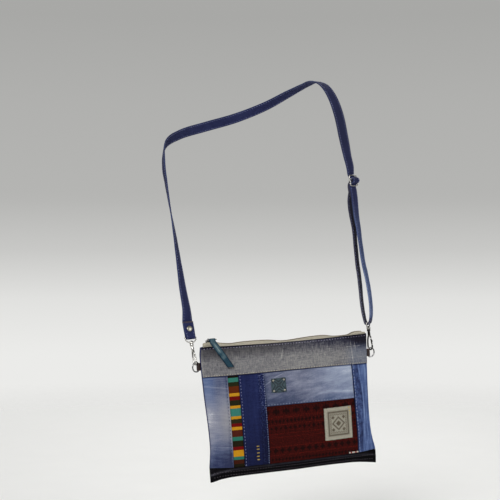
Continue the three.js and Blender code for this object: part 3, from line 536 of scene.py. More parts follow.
# Colour and width of each stripe, from the top down
STRIPES = [
    ("#15110f", 3.0), ("#367a6c", 6.8), ("#242612", 6.2), ("#5e270c", 10.6), ("#c89120", 4.9),
    ("#680b0b", 5.7), ("#222312", 8.6), ("#c98f20", 4.5), ("#387a6e", 11.5), ("#c48c1f", 4.5),
    ("#292714", 6.7), ("#6c0b0b", 5.5), ("#c8901e", 4.7), ("#4e1e13", 10.5), ("#2d7462", 5.9),
    ("#211c0d", 9.7), ("#6a0a0a", 5.1), ("#c88e1a", 9.9), ("#2e6f5f", 4.9), ("#3f190d", 6.9),
    ("#1b180b", 5.9),
]
PRINT_TOP = -98.4
# Figures of the print: pitch, shift, middle below the top, half width, half height, notch
PRINT_FIGURES = [
    (16.5, 2.0, 9.2, 6.0, 6.6, 1.6), (8.25, 2.0, 9.2, 1.6, 5.0, 0.4), (6.1, 0.0, 24.0, 2.7, 3.6, 0.2),
    (15.4, 5.0, 35.0, 3.4, 5.4, 1.4), (15.4, 12.7, 35.0, 2.6, 2.8, 0.3), (11.0, 3.0, 69.6, 5.2, 5.6, 1.2),
    (5.5, 0.0, 83.6, 2.7, 3.2, 0.0), (5.5, 2.7, 3.0, 1.5, 1.2, 0.0), (7.7, 1.2, 41.2, 1.2, 1.0, 0.0),
]
# Lines of the print: middle below the top, width
PRINT_LINES = [
    (16.6, 1.0), (18.6, 0.9), (29.4, 0.9), (43.6, 1.0), (49.0, 0.8), (63.6, 1.5), (76.6, 1.2),
]


def ribbon():
    material = begin("striped_ribbon")
    x, z = on_cloth()
    down = (RIBBON_TOP - z + noise(x * 0.3, z * 0.2, 5) * 0.25) / RIBBON_LENGTH
    places = np.cumsum([0.0] + [w for _, w in STRIPES[:-1]]) / RIBBON_LENGTH
    stops = [(float(place), tone) for place, (tone, _) in zip(places, STRIPES)]
    colour = ramp(down, *stops, steps="CONSTANT")
    ribs = (z * 9.0).math("SINE")
    threads = noise(x * 0.4, z * 3.0, 7, 2.0)
    shaded = mixed(colour, "#100c0a", (threads * -0.4 + 0.24 - ribs * 0.06).math("MAXIMUM", 0.0))
    coat(shaded, 0.8 - threads * 0.08, ribs * 0.6 + threads * 0.4, 0.12, Specular_IOR_Level=0.05)
    return material


def printed_cloth():
    material = begin("red_print")
    x, z = on_cloth()
    wobble = noise(x * 0.25, z * 0.25, 9, 2.0)
    down = (PRINT_TOP - z) - x * 0.006 + wobble * 0.6
    figure = None
    for pitch, shift, middle, half, tall, notch in PRINT_FIGURES:
        a = abs((x + shift).part(pitch)) / half
        b = abs(down - middle) / tall
        shape = 1 - (a + b + a * b * notch + wobble * 0.12).step(0.78, 1.12)
        figure = shape if figure is None else figure.math("MAXIMUM", shape)
    lines = None
    for middle, width in PRINT_LINES:
        line = down.ridge(middle, width)
        lines = line if lines is None else lines + line
    slub = noise(x * 0.12, z * 1.3, 15, 2.0) * 0.5 + noise(x * 1.2, z * 0.15, 17, 2.0) * 0.5
    flecks = noise(x * 0.5, z * 0.55, 21, 2.0, 0.7)
    level = slub * 0.6 + flecks * 0.85 + lines * 0.24 + 0.41
    ground = ramp(level, (0.0, "#1c0605"), (0.5, "#320b09"), (1.0, "#5f160e"))
    colour = mixed(ground, "#0d0606", figure * (0.8 - slub * 0.4))
    weave = (x * 9.0).math("SINE") * 0.4 + (z * 9.0).math("SINE") * 0.4 + slub
    coat(colour, 0.94, weave, 0.1, Specular_IOR_Level=0.06)
    return material


RIBBON = ribbon()
RED_PRINT = printed_cloth()
print("ribbon stripes:", len(STRIPES), "over", round(sum(w for _, w in STRIPES), 1), "mm")

# %% [markdown]
# ## Canvas and tapes
# The label is a coarse canvas with a stamped frame, a row of dots inside it and a lozenge in its middle.
# Distances from the label's middle draw all of them. The zip tape is a fine cream twill, and the seam tab a
# woven one with red bands.


# %% Canvas and tapes
LABEL_MIDDLE = (74.5, -135.6)


def canvas():
    material = begin("stamped_canvas")
    x, z = on_cloth()
    a, b = abs(x - LABEL_MIDDLE[0]), abs(z - LABEL_MIDDLE[1])
    weave = (x * 5.2).math("SINE") * (z * 5.2).math("SINE")
    slub = noise(x * 0.5, z * 0.5, 19, 3.0, 0.75)
    around = a.math("MAXIMUM", b * 0.92)
    frame_line = around.ridge(16.6, 2.5)
    beaded = around.ridge(13.0, 2.2) * ((a + b) * 1.9).math("SINE").step(-0.5, 0.4)
    lozenge = (a + b).ridge(9.8, 2.6)
    petal = 1 - (a + b).step(3.6, 5.2)
    corner = 1 - (abs(a - 9.0) + abs(b - 9.6)).step(2.2, 3.6)
    wash = (1 - around.step(15.0, 16.6)) * 0.16
    stamp = frame_line + beaded + lozenge + petal + corner + wash
    ink = stamp.math("MINIMUM", 1.0) * (0.8 + slub * 0.7)
    ground = ramp(slub * 0.62 + weave * 0.18 + 0.48, (0.0, "#6f6c5f"), (0.5, "#949183"), (1.0, "#b2aea1"))
    coat(mixed(ground, "#3d2f23", ink), 0.92, weave * 0.7 + slub * 0.5, 0.2, **CLOTH)
    return material


def tape(name, dark, light):
    material = begin(name)
    x, z = on_cloth()
    weave = ((x * 1.1 + z * 1.9) * FULL_TURN).math("SINE")
    slub = noise(x * 0.2, z * 0.7, 29, 3.0)
    colour = ramp(slub * 0.5 + weave * 0.1 + 0.5, (0.0, dark), (1.0, light))
    coat(colour, 0.88, weave + slub * 0.4, 0.08, **CLOTH)
    return material


def seam_label():
    material = begin("woven_seam_tab")
    x, z = on_cloth()
    bands = x.ridge(94.6, 2.4).step(0.3, 0.5) + x.ridge(102.6, 2.4).step(0.3, 0.5)
    weave = (x * 9.0).math("SINE") * 0.5 + (z * 9.0).math("SINE") * 0.5
    colour = mixed(mixed("#a39c92", "#c9c3ba", weave * 0.3 + 0.5), "#7c161a", bands)
    coat(colour, 0.85, weave, 0.08, **CLOTH)
    return material


CANVAS = canvas()
CREAM_TAPE = tape("cream_zip_tape", "#938d7c", "#c6bfae")
COIL = tape("zip_coil", "#5c5348", "#8f8575")
SEAM_TAB = seam_label()
print("finishes:", CANVAS.name, CREAM_TAPE.name, COIL.name, SEAM_TAB.name)

# %% [markdown]
# ## Leather
# Leather has a grain of small cells, which Voronoi cells give, and it is darker in the creases between
# them. Each piece brings its own map of rubbing and painted light: the pull has a painted highlight down its
# middle and dark edges that are partly painted shade, the tabs are paler at their edges, and the square
# patch has a flower of four petals pressed into it.

# %% Leather
PULL_FRONT, PULL_LENGTH = 50.0, 43.0
PATCH_MIDDLE = (-19.75, -66.4)


def leather(name, dark, mid, light, rubbed, gloss=0.3):
    material = begin(name)
    x, z = on_cloth()
    place = Shade.node("CombineXYZ", {}, {0: x, 1: z, 2: 0.0})
    cells = Shade.node("TexVoronoi", {"feature": "DISTANCE_TO_EDGE"}, {"Vector": place, "Scale": 1.5})
    pores = cells.step(0.02, 0.22)
    hide = noise(x * 0.12, z * 0.12, 37, 4.0, 0.65)
    level = rubbed(x, z) + hide * 0.2 + pores * 0.12
    colour = ramp(level, (0.0, dark), (0.5, mid), (1.0, light))
    coat(colour, 0.52 - hide * 0.12, pores * 0.8 + hide, 0.14, Specular_IOR_Level=gloss)
    return material


def pull_rub_and_painted_light(x, z):
    down = (x - PULL_FRONT) / PULL_LENGTH
    # painted highlight: a pale line down the middle of the pull
    middle = z.ridge(0.3, 1.5) * down.step(0.22, 0.4) * (1 - down.step(0.58, 0.74)) * 0.36
    # dark edges, partly painted shade
    edges = (abs(z) - 2.7).step(0.0, 1.5) * 0.3
    foot = down.ridge(0.76, 0.12) * z.step(-1.0, 1.5) * 0.16 + down.step(0.94, 0.99) * 0.16
    return 0.54 + middle - edges - foot


def patch_rub(x, z):
    a, b = abs(x - PATCH_MIDDLE[0]), abs(z - PATCH_MIDDLE[1])
    lobe = a.math("MAXIMUM", b) - a.math("MINIMUM", b) * 0.75
    flower = lobe.ridge(5.4, 2.0) + lobe.ridge(1.4, 1.6)
    rim = a.math("MAXIMUM", b * 1.06).ridge(10.2, 1.0)
    return 0.54 - flower.math("MINIMUM", 1.0) * 0.5 - rim * 0.26


def tab_rub(x, z):
    return 0.3 + abs(z).step(3.0, 5.8) * 0.2


PULL_LEATHER = leather("teal_pull_leather", "#081424", "#1f3b49", "#74878a", pull_rub_and_painted_light, 0.1)
PATCH_LEATHER = leather("teal_patch_leather", "#0a1116", "#2a3b43", "#566c72", patch_rub)
BROWN_LEATHER = leather("brown_tab_leather", "#0e0807", "#281815", "#553c34", tab_rub)
print("finishes:", PULL_LEATHER.name, PATCH_LEATHER.name, BROWN_LEATHER.name)

# %% [markdown]
# ## Nickel and thread
# The fittings are polished nickel plate: a mirror with hair scratches and a few duller, warmer places where
# the plate is handled. Two copies carry painted reflection in their base colour: a paler lit one for the
# left hook and gate, both eyes and the slider buckle, and a darker shaded one for the right hook and gate.
# Thread is a matt twisted yarn, so its colour and height run in slanting turns.


# %% Nickel and thread
def nickel(name, tones, rough):
    material = begin(name)
    x, y, z = in_space()
    haze = noise(x * 0.25 + y * 0.2, z * 0.25, 43, 3.0)
    hair = noise(x * 2.0 + y * 2.0, z * 0.3, 51, 2.0, 0.8)
    colour = ramp(haze * 0.5 + 0.5, *zip((0.0, 0.6, 1.0), tones))
    coat(colour, rough + haze * 0.05 + hair * 0.04, hair, 0.01, Metallic=1.0)
    return material


def thread(name, dark, light):
    material = begin(name)
    x, y, z = in_space()
    twist = ((x + y + z) * 14.0).math("SINE")
    fuzz = noise(x * 0.8 + y * 0.5, z * 0.8, 57, 3.0)
    coat(ramp(fuzz * 0.5 + twist * 0.15 + 0.5, (0.0, dark), (1.0, light)), 0.8, twist, 0.05, **CLOTH)
    return material


NICKEL = nickel("polished_nickel", ("#68645e", "#858587", "#a0a0a2"), 0.17)
SOFT_NICKEL = nickel("brushed_nickel", ("#8d8877", "#a6a294", "#c0beb4"), 0.4)
# lit and shaded copies of the nickel: painted bright and dark reflection in the base colour
LIT_NICKEL = nickel("painted_lit_nickel", ("#8a867f", "#adaba7", "#cfcfcd"), 0.22)
SHADED_NICKEL = nickel("shaded_nickel", ("#292725", "#403e3d", "#5e5c5e"), 0.22)
LILAC_THREAD = thread("lilac_thread", "#7b7690", "#a9a4b8")
WARM_THREAD = thread("warm_grey_thread", "#978f80", "#cbc3b2")
BLUE_THREAD = thread("pale_blue_thread", "#6b7592", "#a3abc0")
SLATE_THREAD = thread("slate_blue_thread", "#5c6288", "#9296b8")
NAVY_THREAD = thread("navy_thread", "#10132a", "#262b4a")
SMOKE_THREAD = thread("smoke_thread", "#2c282d", "#5a535a")
GOLD_THREAD = thread("gold_thread", "#87702c", "#b8a24a")
YELLOW_THREAD = thread("yellow_thread", "#a8851a", "#e2c038")
print("threads:", [m.name for m in bpy.data.materials if m.name.endswith("thread")])

# %% [markdown]
# ## The pouch's form
# The front is one gently crowned cloth with drag folds, cut into panels by its seams. The seams and side
# edges are short tables with smooth curves through them, in the pouch's own frame: x to the right, y to the
# back, z up from the top edge, in millimetres. The pouch hangs rolled by a few degrees.

# %% Tables of the pouch
DENIM, GAP, TAPE_THICK, PATCH_THICK = 1.2, 0.3, 0.6, 1.3
BAG_PLACE = np.array([-84.6, -102.0, -419.0])
BAG_ROLL = math.radians(3.8)


def curve_through(places, values, at):
    places, values = np.array(places, float), np.array(values, float)
    at = np.clip(at, places[0], places[-1])
    i = np.clip(np.searchsorted(places, at, side="left") - 1, 0, len(places) - 2)
    k = np.arange(len(places))
    before, after = np.maximum(k - 1, 0), np.minimum(k + 1, len(places) - 1)
    slope = (values[after] - values[before]) / (places[after] - places[before])
    span = places[i + 1] - places[i]
    t = (at - places[i]) / span
    rest = values[i] + (values[i + 1] - values[i]) * t * t * (3 - 2 * t)
    return rest + slope[i] * span * t * (1 - t) ** 2 - slope[i + 1] * span * t * t * (1 - t)


def columns(names, rows):
    rows = np.array(rows, float)
    made = SimpleNamespace()
    for k, key in enumerate(names.split(), 1):
        setattr(made, key, lambda at, k=k: curve_through(rows[:, 0], rows[:, k], at))
    return made


SEAMS = columns("top band print hem bottom", [
    [-138, 0.6, -45.0, -97.4, -184.0, -207.0], [-130, 2.0, -45.0, -97.4, -184.6, -206.2],
    [-116, 1.6, -45.0, -97.5, -185.8, -203.2], [-95, 0.9, -45.1, -97.6, -186.8, -201.6],
    [-40, -0.4, -45.4, -97.8, -187.2, -201.4], [0, -0.9, -45.5, -98.2, -187.6, -201.6],
    [50, -0.9, -45.6, -98.8, -187.2, -201.0], [95, -0.2, -46.2, -99.3, -186.8, -201.6],
    [116, 0.0, -47.0, -99.6, -186.4, -203.4], [138, 0.0, -47.7, -99.8, -185.0, -206.8],
])
EDGES = columns("left right behind", [
    [-207, -132.4, 136.0, 1.5], [-196, -134.9, 138.4, 1.5], [-185, -134.8, 138.8, 1.6],
    [-170, -133.0, 135.4, 2.0], [-154, -131.6, 132.6, 2.6], [-125, -132.2, 131.2, 3.4],
    [-100, -133.8, 131.4, 3.8], [-75, -135.6, 131.9, 4.2], [-40, -137.2, 133.2, 5.0],
    [-12, -138.2, 134.3, 5.2], [3, -136.4, 134.8, 5.0],
])
CROWN = columns("front back", [
    [0, 0.5, 0.45], [0.22, 0.8, 0.75], [0.5, 1, 1], [0.8, 0.93, 0.95], [0.94, 0.7, 0.7], [1, 0.6, 0.6],
])
# Drag folds: middle x, middle z, turn in degrees, half length, half width, rise
FOLDS = [
    (-112, -128, -14, 26, 7, 0.9), (-70, -150, 70, 40, 9, 0.7), (20, -76, 8, 60, 9, 0.8),
    (60, -172, -6, 50, 8, 0.7), (-20, -24, 3, 80, 10, 0.6),
]
ZIP = columns("rise", [
    [-136, 3.6], [-129, 5.8], [-124, 6.5], [-116, 6], [-106, 4], [-90, 2.5], [-70, 3.8],
    [-45, 4.2], [-28, 3.6], [-10, 1.3], [2, 1], [27, 2.7], [48, 3.6], [64, 3.2],
    [80, 0.3], [103, 0.2], [112, 3.4], [124, 3.8], [133, 2],
])
print("pouch", round(float(EDGES.right(-100) - EDGES.left(-100)), 1), "mm wide at mid height")

# %% [markdown]
# ## How far the cloth stands out
# A filled pouch is full in its middle and pinched flat at its seams. Sculpting that by hand would drift
# away from the solids, so two functions give the depth of the front and of the back at any place: a crown
# that falls off to the sides, the drag folds as long soft ridges, and a small ripple.

# %% Depth of front and back
FRONT_CROWN, BACK_CROWN = 10.5, 6


def mix(a, b, t):
    return a + (b - a) * t


def smoothstep(value, low, high):
    t = np.clip((value - low) / (high - low), 0, 1)
    return t * t * (3 - 2 * t)


def across_and_down(x, z):
    left, right = EDGES.left(z), EDGES.right(z)
    across = np.minimum(1, np.abs(2 * (x - left) / (right - left) - 1))
    return across, (SEAMS.top(x) - z) / (SEAMS.top(x) - SEAMS.bottom(x))


def edge_depth(z):
    return mix(DENIM + GAP / 2 + 0.05, 2.5, smoothstep(z, -182, -150))


def ripple(x, z):
    waves = [(0.11, 0.23, 0.0), (-0.17, 0.19, 1.1), (0.31, 0.05, 2.3), (0.06, -0.37, 0.6), (0.21, 0.29, 4.0)]
    return sum(np.sin(a * x + b * z + c) for a, b, c in waves) * 0.09


def front_depth(x, z):
    across, down = across_and_down(x, z)
    folds = 0
    for fx, fz, turn, along, wide, rise in FOLDS:
        c, s = math.cos(math.radians(turn)), math.sin(math.radians(turn))
        a = ((x - fx) * c + (z - fz) * s) / along
        b = ((z - fz) * c - (x - fx) * s) / wide
        folds = folds + rise * np.exp(-a * a - b * b)
    crown = FRONT_CROWN * (1 - across**3.2) * CROWN.front(down)
    return edge_depth(z) + crown + (folds + ripple(x, z)) * (1 - across**4)


def back_depth(x, z):
    across, down = across_and_down(x, z)
    crown = BACK_CROWN * (1 - across**3) * CROWN.back(down)
    return EDGES.behind(z) + crown + ripple(x + 60, z) * (1 - across**4)


def hung(points):
    c, s = math.cos(BAG_ROLL), math.sin(BAG_ROLL)
    x, y, z = np.moveaxis(np.asarray(points, float), -1, 0)
    return np.stack([x * c - z * s, y, x * s + z * c], -1) + BAG_PLACE


print("front stands", round(float(front_depth(0.0, -100.0)), 1), "mm before the seam plane")

# %% [markdown]
# ## Cloth walls
# A panel is a grid of points on its outer face. A second grid lies one cloth thickness behind it, and a
# strip closes the rim, so each panel is a closed wall. A small bevel rounds the rim, as a folded edge is
# round. The flat places on the cloth go into a UV map in millimetres, and the finishes above read that map.


# %% Cloth walls
def settle(obj):
    graph = bpy.context.evaluated_depsgraph_get()
    mesh = bpy.data.meshes.new_from_object(obj.evaluated_get(graph), depsgraph=graph)
    obj.modifiers.clear()
    obj.data = mesh
    return obj


def to_mesh(name, points, faces, material, uv=None):
    mesh = bpy.data.meshes.new(name)
    mesh.from_pydata((np.asarray(points, float) * MM).tolist(), [], faces)
    if uv is not None:
        layer = mesh.uv_layers.new(name="cloth")
        layer.data.foreach_set("uv", np.asarray(uv, float).ravel())
    mesh.materials.append(material)
    mesh.polygons.foreach_set("use_smooth", [True] * len(mesh.polygons))
    mesh.update()
    obj = bpy.data.objects.new(name, mesh)
    bpy.context.scene.collection.objects.link(obj)
    return obj


def bevelled(obj, width_mm, segments=2, angle=50):
    bevel = obj.modifiers.new("rim", "BEVEL")
    bevel.width = width_mm * MM
    bevel.segments = segments
    bevel.limit_method = "ANGLE"
    bevel.angle_limit = math.radians(angle)
    return settle(obj)


def cloth_wall(name, outer, flat, thickness, material, rim=0.35):
    rows, cols = outer.shape[:2]
    inward = np.cross(np.gradient(outer, axis=0), np.gradient(outer, axis=1))
    inward /= np.linalg.norm(inward, axis=-1, keepdims=True)
    points = np.concatenate([outer.reshape(-1, 3), (outer + inward * thickness).reshape(-1, 3)])
    count = rows * cols
    index = np.arange(count).reshape(rows, cols)
    a, b, c, d = index[:-1, :-1], index[1:, :-1], index[1:, 1:], index[:-1, 1:]
    quads = np.stack([a, d, c, b], -1).reshape(-1, 4)
    faces = np.concatenate([quads, quads[:, ::-1] + count])
    loop = np.concatenate([index[:-1, 0], index[-1, :-1], index[:0:-1, -1], index[0, :0:-1]])
    after = np.roll(loop, -1)
    faces = np.concatenate([faces, np.stack([loop, after, after + count, loop + count], -1)])
    uv = np.concatenate([flat.reshape(-1, 2)] * 2)[faces.ravel()]
    obj = to_mesh(name, points, faces.tolist(), material, uv)
    return bevelled(obj, rim) if rim else obj


def grid(wide, tall):
    return np.meshgrid(np.linspace(0, 1, wide), np.linspace(0, 1, tall), indexing="ij")


def dress(obj, body, slot, *nodes):
    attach(obj, body)
    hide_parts(*nodes)
    return obj


print("cloth walls ready")

# %% [markdown]
# ## Front panels
# Where two panels meet, one is folded under and stitched on top of the other. The lap is thicker than one
# cloth, so the upper panel stands a little proud along that seam and turns down at its edge, and the
# stitches pull small puckers into it. Each panel names its lips: the side, and how far it stands proud (or
# sinks, under a neighbour).


# %% Front panels
PANEL_HEAD, PANEL_HEIGHT = -45, 141
CLOTH_STEP = 1.7


def slanted(top, foot):
    return lambda z: mix(top, foot, (PANEL_HEAD - z) / PANEL_HEIGHT)


LINES = SimpleNamespace(
    left=EDGES.left, ribbon_start=slanted(-99.3, -97.5), ribbon_end=slanted(-82.5, -80.5),
    indigo_end=slanted(-41.8, -40.3), print_end=slanted(104.2, 107.8), right=EDGES.right,
)
# Start line, end line, head seam, foot seam, lips, finish, slot
PANELS = {
    "top_band": ("left", "right", "top", "band", {"foot": 0.75, "head": 0.5}, GREY_DENIM, "grey_denim"),
    "left_panel": (
        "left", "ribbon_start", "band", "hem", {"right": 0.6, "head": -0.35}, LEFT_DENIM, "pale_denim",
    ),
    "striped_ribbon": ("ribbon_start", "ribbon_end", "band", "hem", {"all": -0.45}, RIBBON, "ribbon"),
    "indigo_strip": (
        "ribbon_end", "indigo_end", "band", "hem", {"left": 0.6, "head": -0.35, "fell": 0.9},
        INDIGO_DENIM, "indigo_denim",
    ),
    "centre_panel": (
        "indigo_end", "print_end", "band", "print", {"head": -0.35, "foot": 0.6}, CENTRE_DENIM, "pale_denim",
    ),
    "print_panel": (
        "indigo_end", "print_end", "print", "hem", {"head": -0.35, "all": -0.15}, RED_PRINT, "red_print",
    ),
    "right_strip": (
        "print_end", "right", "band", "hem", {"left": 0.8, "head": -0.35}, STRIP_DENIM, "mid_denim",
    ),
}


def lip_height(name, x, z):
    start, end, head, foot, lips = PANELS[name][:5]
    inside = {
        "left": x - getattr(LINES, start)(z), "right": getattr(LINES, end)(z) - x,
        "head": getattr(SEAMS, head)(x) - z, "foot": z - getattr(SEAMS, foot)(x),
    }
    rise = lips.get("all", 0.0) + 0 * x
    for side, distance in inside.items():
        along = z if side in ("left", "right") else x
        pucker = np.sin(along * 0.83 + 1.7 * np.sin(along * 0.11)) + 0.6 * np.sin(along * 1.41 + 2)
        rise = rise + lips.get(side, 0.0) * (1 - smoothstep(distance, 5.5, 8.5))
        rise = rise + 0.1 * pucker * np.exp(-np.abs(distance - 3) / 3.0)
        rise = rise - 0.35 * np.exp(-((distance / 0.9) ** 2))
    if "fell" in lips:
        rise = rise + lips["fell"] * (1 - smoothstep(inside["right"], 9.5, 11.0))
    return rise


def front_point(name, x, z, lift=0.0):
    y = -front_depth(x, z) - lip_height(name, x, z) - lift
    return np.stack([x, y, z], -1)


def panel_places(name, u, v):
    start, end, head, foot = PANELS[name][:4]
    inset = GAP / 2
    x, z = 0 * u, 0 * u - 100
    for _ in range(5):
        x = mix(getattr(LINES, start)(z) + inset, getattr(LINES, end)(z) - inset, u)
        z = mix(getattr(SEAMS, head)(x) - inset, getattr(SEAMS, foot)(x) + inset, v)
    return x, z


for name, (*_, material, slot) in PANELS.items():
    x, z = panel_places(name, np.array([0.0, 1.0]), np.array([0.0, 1.0]))
    wide, tall = (int(np.ptp(span) / CLOTH_STEP) + 2 for span in (x, z))
    u, v = grid(wide, tall)
    x, z = panel_places(name, u, v)
    outer, flat = hung(front_point(name, x, z)), np.stack([x, z], -1)
    dress(cloth_wall(f"{name}_cloth", outer, flat, DENIM, material), "bag", slot, name)
    print(name, wide, "x", tall)

# %% [markdown]
# ## Bottom band and back
# The bottom band is one cloth that runs from the front hem under the pouch to the back hem, pinched flat at
# the corners. The back is one cloth with both side walls, which fold forward to meet the front at its side
# seams.


# %% Bottom band and back
BAND_LEVEL, BAND_CLOTH = -196.0, 27
BACK_TURN, SIDE_WALL = 0.9, 7


def bottom_band(u, v):
    x = mix(EDGES.left(BAND_LEVEL) + GAP, EDGES.right(BAND_LEVEL) - GAP, u)
    hem = SEAMS.hem(x) - GAP / 2
    front, back = -front_depth(x, hem), back_depth(x, hem)
    c, s = np.cos(np.pi * v), np.sin(np.pi * v)
    y = mix(front, back, 0.5 - 0.5 * np.sign(c) * np.abs(c) ** 0.8)
    lap = 0.5 * (1 - smoothstep(v, 0.1, 0.26)) + 0.12 * np.sin(x * 0.8 + np.sin(x * 0.1)) * np.exp(-v * 9)
    z = hem - (hem - SEAMS.bottom(x)) * np.abs(s) ** 0.8
    return np.stack([x, y - lap, z], -1), np.stack([x, hem - BAND_CLOTH * v], -1)


def back_panel(u, v):
    c = 1 - 2 * u
    share = np.clip(c / BACK_TURN, -1, 1)
    x, z = 0 * u, 0 * u - 100
    for _ in range(5):
        x = mix(EDGES.left(z), EDGES.right(z), 0.5 + 0.5 * share)
        z = mix(SEAMS.top(x), SEAMS.hem(x) + GAP / 2, v)
    fold = np.maximum(0, np.abs(c) - BACK_TURN) / (1 - BACK_TURN)
    y = mix(back_depth(x, z), DENIM + GAP + 0.1 - edge_depth(z), fold)
    return np.stack([x, y, z], -1), np.stack([x + np.sign(c) * fold * SIDE_WALL, z], -1)


u, v = grid(170, 40)
points, flat = bottom_band(u, v)
band = cloth_wall("bottom_band_cloth", hung(points), flat, DENIM, BLACK_DENIM)
dress(band, "bag", "black_denim", "bottom_band")
u, v = grid(151, 90)
points, flat = back_panel(u, v)
back = cloth_wall("back_panel_cloth", hung(points), flat, DENIM, BACK_DENIM)
dress(back, "bag", "indigo_denim", "back_panel")
print("bottom band and back:", len(band.data.polygons), "and", len(back.data.polygons), "faces")

# %% [markdown]
# ## Beads along a line
# The zip's chain is a nylon coil, which is a repeated bead along a line, and so is a row of stitches.
# Modelling each by hand would take hundreds of pieces, so one node tree lays them all: it walks along a
# line, puts a spindle at each step and turns it along the line.


# %% Beads along a line
BEAD_SIDES, BEAD_RINGS = 8, 5


def bead_tree():
    tree = bpy.data.node_groups.new("beads_along_a_line", "GeometryNodeTree")
    face = tree.interface
    face.new_socket("Line", in_out="INPUT", socket_type="NodeSocketGeometry")
    for key in ("Pitch", "Half length", "Half width", "Half height", "Uneven"):
        face.new_socket(key, in_out="INPUT", socket_type="NodeSocketFloat")
    face.new_socket("Finish", in_out="INPUT", socket_type="NodeSocketMaterial")
    face.new_socket("Beads", in_out="OUTPUT", socket_type="NodeSocketGeometry")

    def add(kind, settings, sockets):
        node = tree.nodes.new(kind)
        for key, value in settings.items():
            setattr(node, key, value)
        for key, value in sockets.items():
            if isinstance(value, bpy.types.NodeSocket):
                tree.links.new(value, node.inputs[key])
            else:
                node.inputs[key].default_value = value
        return node

    given = tree.nodes.new("NodeGroupInput").outputs
    line = add("GeometryNodeMeshToCurve", {}, {"Mesh": given["Line"]})
    steps = add("GeometryNodeCurveToPoints", {"mode": "LENGTH"}, {
        "Curve": line.outputs[0], "Length": given["Pitch"],
    })
    turn = add("FunctionNodeAlignRotationToVector", {"axis": "X"}, {"Vector": steps.outputs["Tangent"]})
    size = add("ShaderNodeCombineXYZ", {}, {
        0: given["Half length"], 1: given["Half width"], 2: given["Half height"],
    })
    ball = add("GeometryNodeMeshUVSphere", {}, {"Segments": BEAD_SIDES, "Rings": BEAD_RINGS, "Radius": 1.0})
    low = add("ShaderNodeMath", {"operation": "SUBTRACT"}, {0: 1.0, 1: given["Uneven"]})
    vary = add("FunctionNodeRandomValue", {"data_type": "FLOAT"}, {
        "Min": low.outputs[0], "Max": 1.0, "Seed": 7,
    })
    scale = add("ShaderNodeVectorMath", {"operation": "SCALE"}, {
        0: size.outputs[0], "Scale": vary.outputs[1],
    })
    laid = add("GeometryNodeInstanceOnPoints", {}, {
        "Points": steps.outputs["Points"], "Instance": ball.outputs[0], "Rotation": turn.outputs[0],
        "Scale": scale.outputs[0],
    })
    real = add("GeometryNodeRealizeInstances", {}, {"Geometry": laid.outputs[0]})
    soft = add("GeometryNodeSetShadeSmooth", {}, {"Geometry": real.outputs[0]})
    finish = add("GeometryNodeSetMaterial", {}, {"Geometry": soft.outputs[0], "Material": given["Finish"]})
    tree.links.new(finish.outputs[0], tree.nodes.new("NodeGroupOutput").inputs[0])
    return tree


BEADS = bead_tree()


def beads(name, lines, material, pitch, half, uneven=0.1):
    points, edges = [], []
    for line in lines:
        start = len(points)
        points += (np.asarray(line) * MM).tolist()
        edges += [(i, i + 1) for i in range(start, len(points) - 1)]
    mesh = bpy.data.meshes.new(name)
    mesh.from_pydata(points, edges, [])
    obj = bpy.data.objects.new(name, mesh)
    bpy.context.scene.collection.objects.link(obj)
    modifier = obj.modifiers.new("beads", "NODES")
    modifier.node_group = BEADS
    values = {
        "Pitch": pitch * MM, "Half length": half[0] * MM, "Half width": half[1] * MM,
        "Half height": half[2] * MM, "Uneven": uneven, "Finish": material,
    }
    for item in BEADS.interface.items_tree:
        if item.in_out == "INPUT" and item.name in values:
            modifier[item.identifier] = values[item.name]
    settle(obj)
    print(name, len(obj.data.polygons) // (BEAD_SIDES * BEAD_RINGS), "beads")
    return obj


print("bead tree with", len(BEADS.nodes), "nodes")

# %% [markdown]
# ## Zip tapes and coil
# The tapes are sewn inside both top edges and rise in soft humps where the pouch sags between its ends. A
# flat tape would cut through the full cloth, so each one starts from the depth of the cloth that it is sewn
# to and leans over to the chain. The coil is two rows of beads side by side.

# %% Zip tapes and coil
CHAIN_HALF, TAPE_HALF = 2.9, 132.5


def zip_top(x):
    return SEAMS.top(x) + ZIP.rise(x)


def zip_tape(side, u, v):
    at_chain = CHAIN_HALF + TAPE_THICK / 2
    x = side * mix(-TAPE_HALF, TAPE_HALF, u)
    top = SEAMS.top(x)
    depth = front_depth(x, top) if side > 0 else back_depth(x, top)
    z = mix(zip_top(x), top - 6, v)
    sewn = np.maximum(depth - DENIM - GAP - 0.1, 0.95)
    inside = mix(np.minimum(at_chain, sewn), sewn, smoothstep(v, 0.1, 0.75))
    y = mix(inside, at_chain, smoothstep(z, top + 0.3, top + 2.5))
    return np.stack([x, -side * y, z], -1), np.stack([x, z], -1)


u, v = grid(150, 10)
for side, end in ((1, "front"), (-1, "back")):
    points, flat = zip_tape(side, u, v)
    strip = cloth_wall(f"zip_tape_{end}_cloth", hung(points), flat, TAPE_THICK, CREAM_TAPE, rim=0.15)
    dress(strip, "bag", "cream_tape", f"zip_tape_{end}")

x = np.linspace(-118, 126, 160)
rows = [np.stack([x, 0 * x + y, zip_top(x) + 0.1], -1) for y in (-1.1, 1.1)]
coil = beads("zip_coil", [hung(r) for r in rows], COIL, 1.25, (0.52, 1.5, 0.95), 0.0)
dress(coil, "bag", "cream_tape", "zip_chain")

# %% [markdown]
# ## Wires and turned parts
# Rings, eyes, hooks and the slider are bent from round wire or cast. A wire is swept along a route that
# lies in one plane, and a turned part is a half outline spun about an axis. Where several are one casting,
# they are fused by a fine voxel remesh and smoothed, which also leaves the soft fillets of a casting.


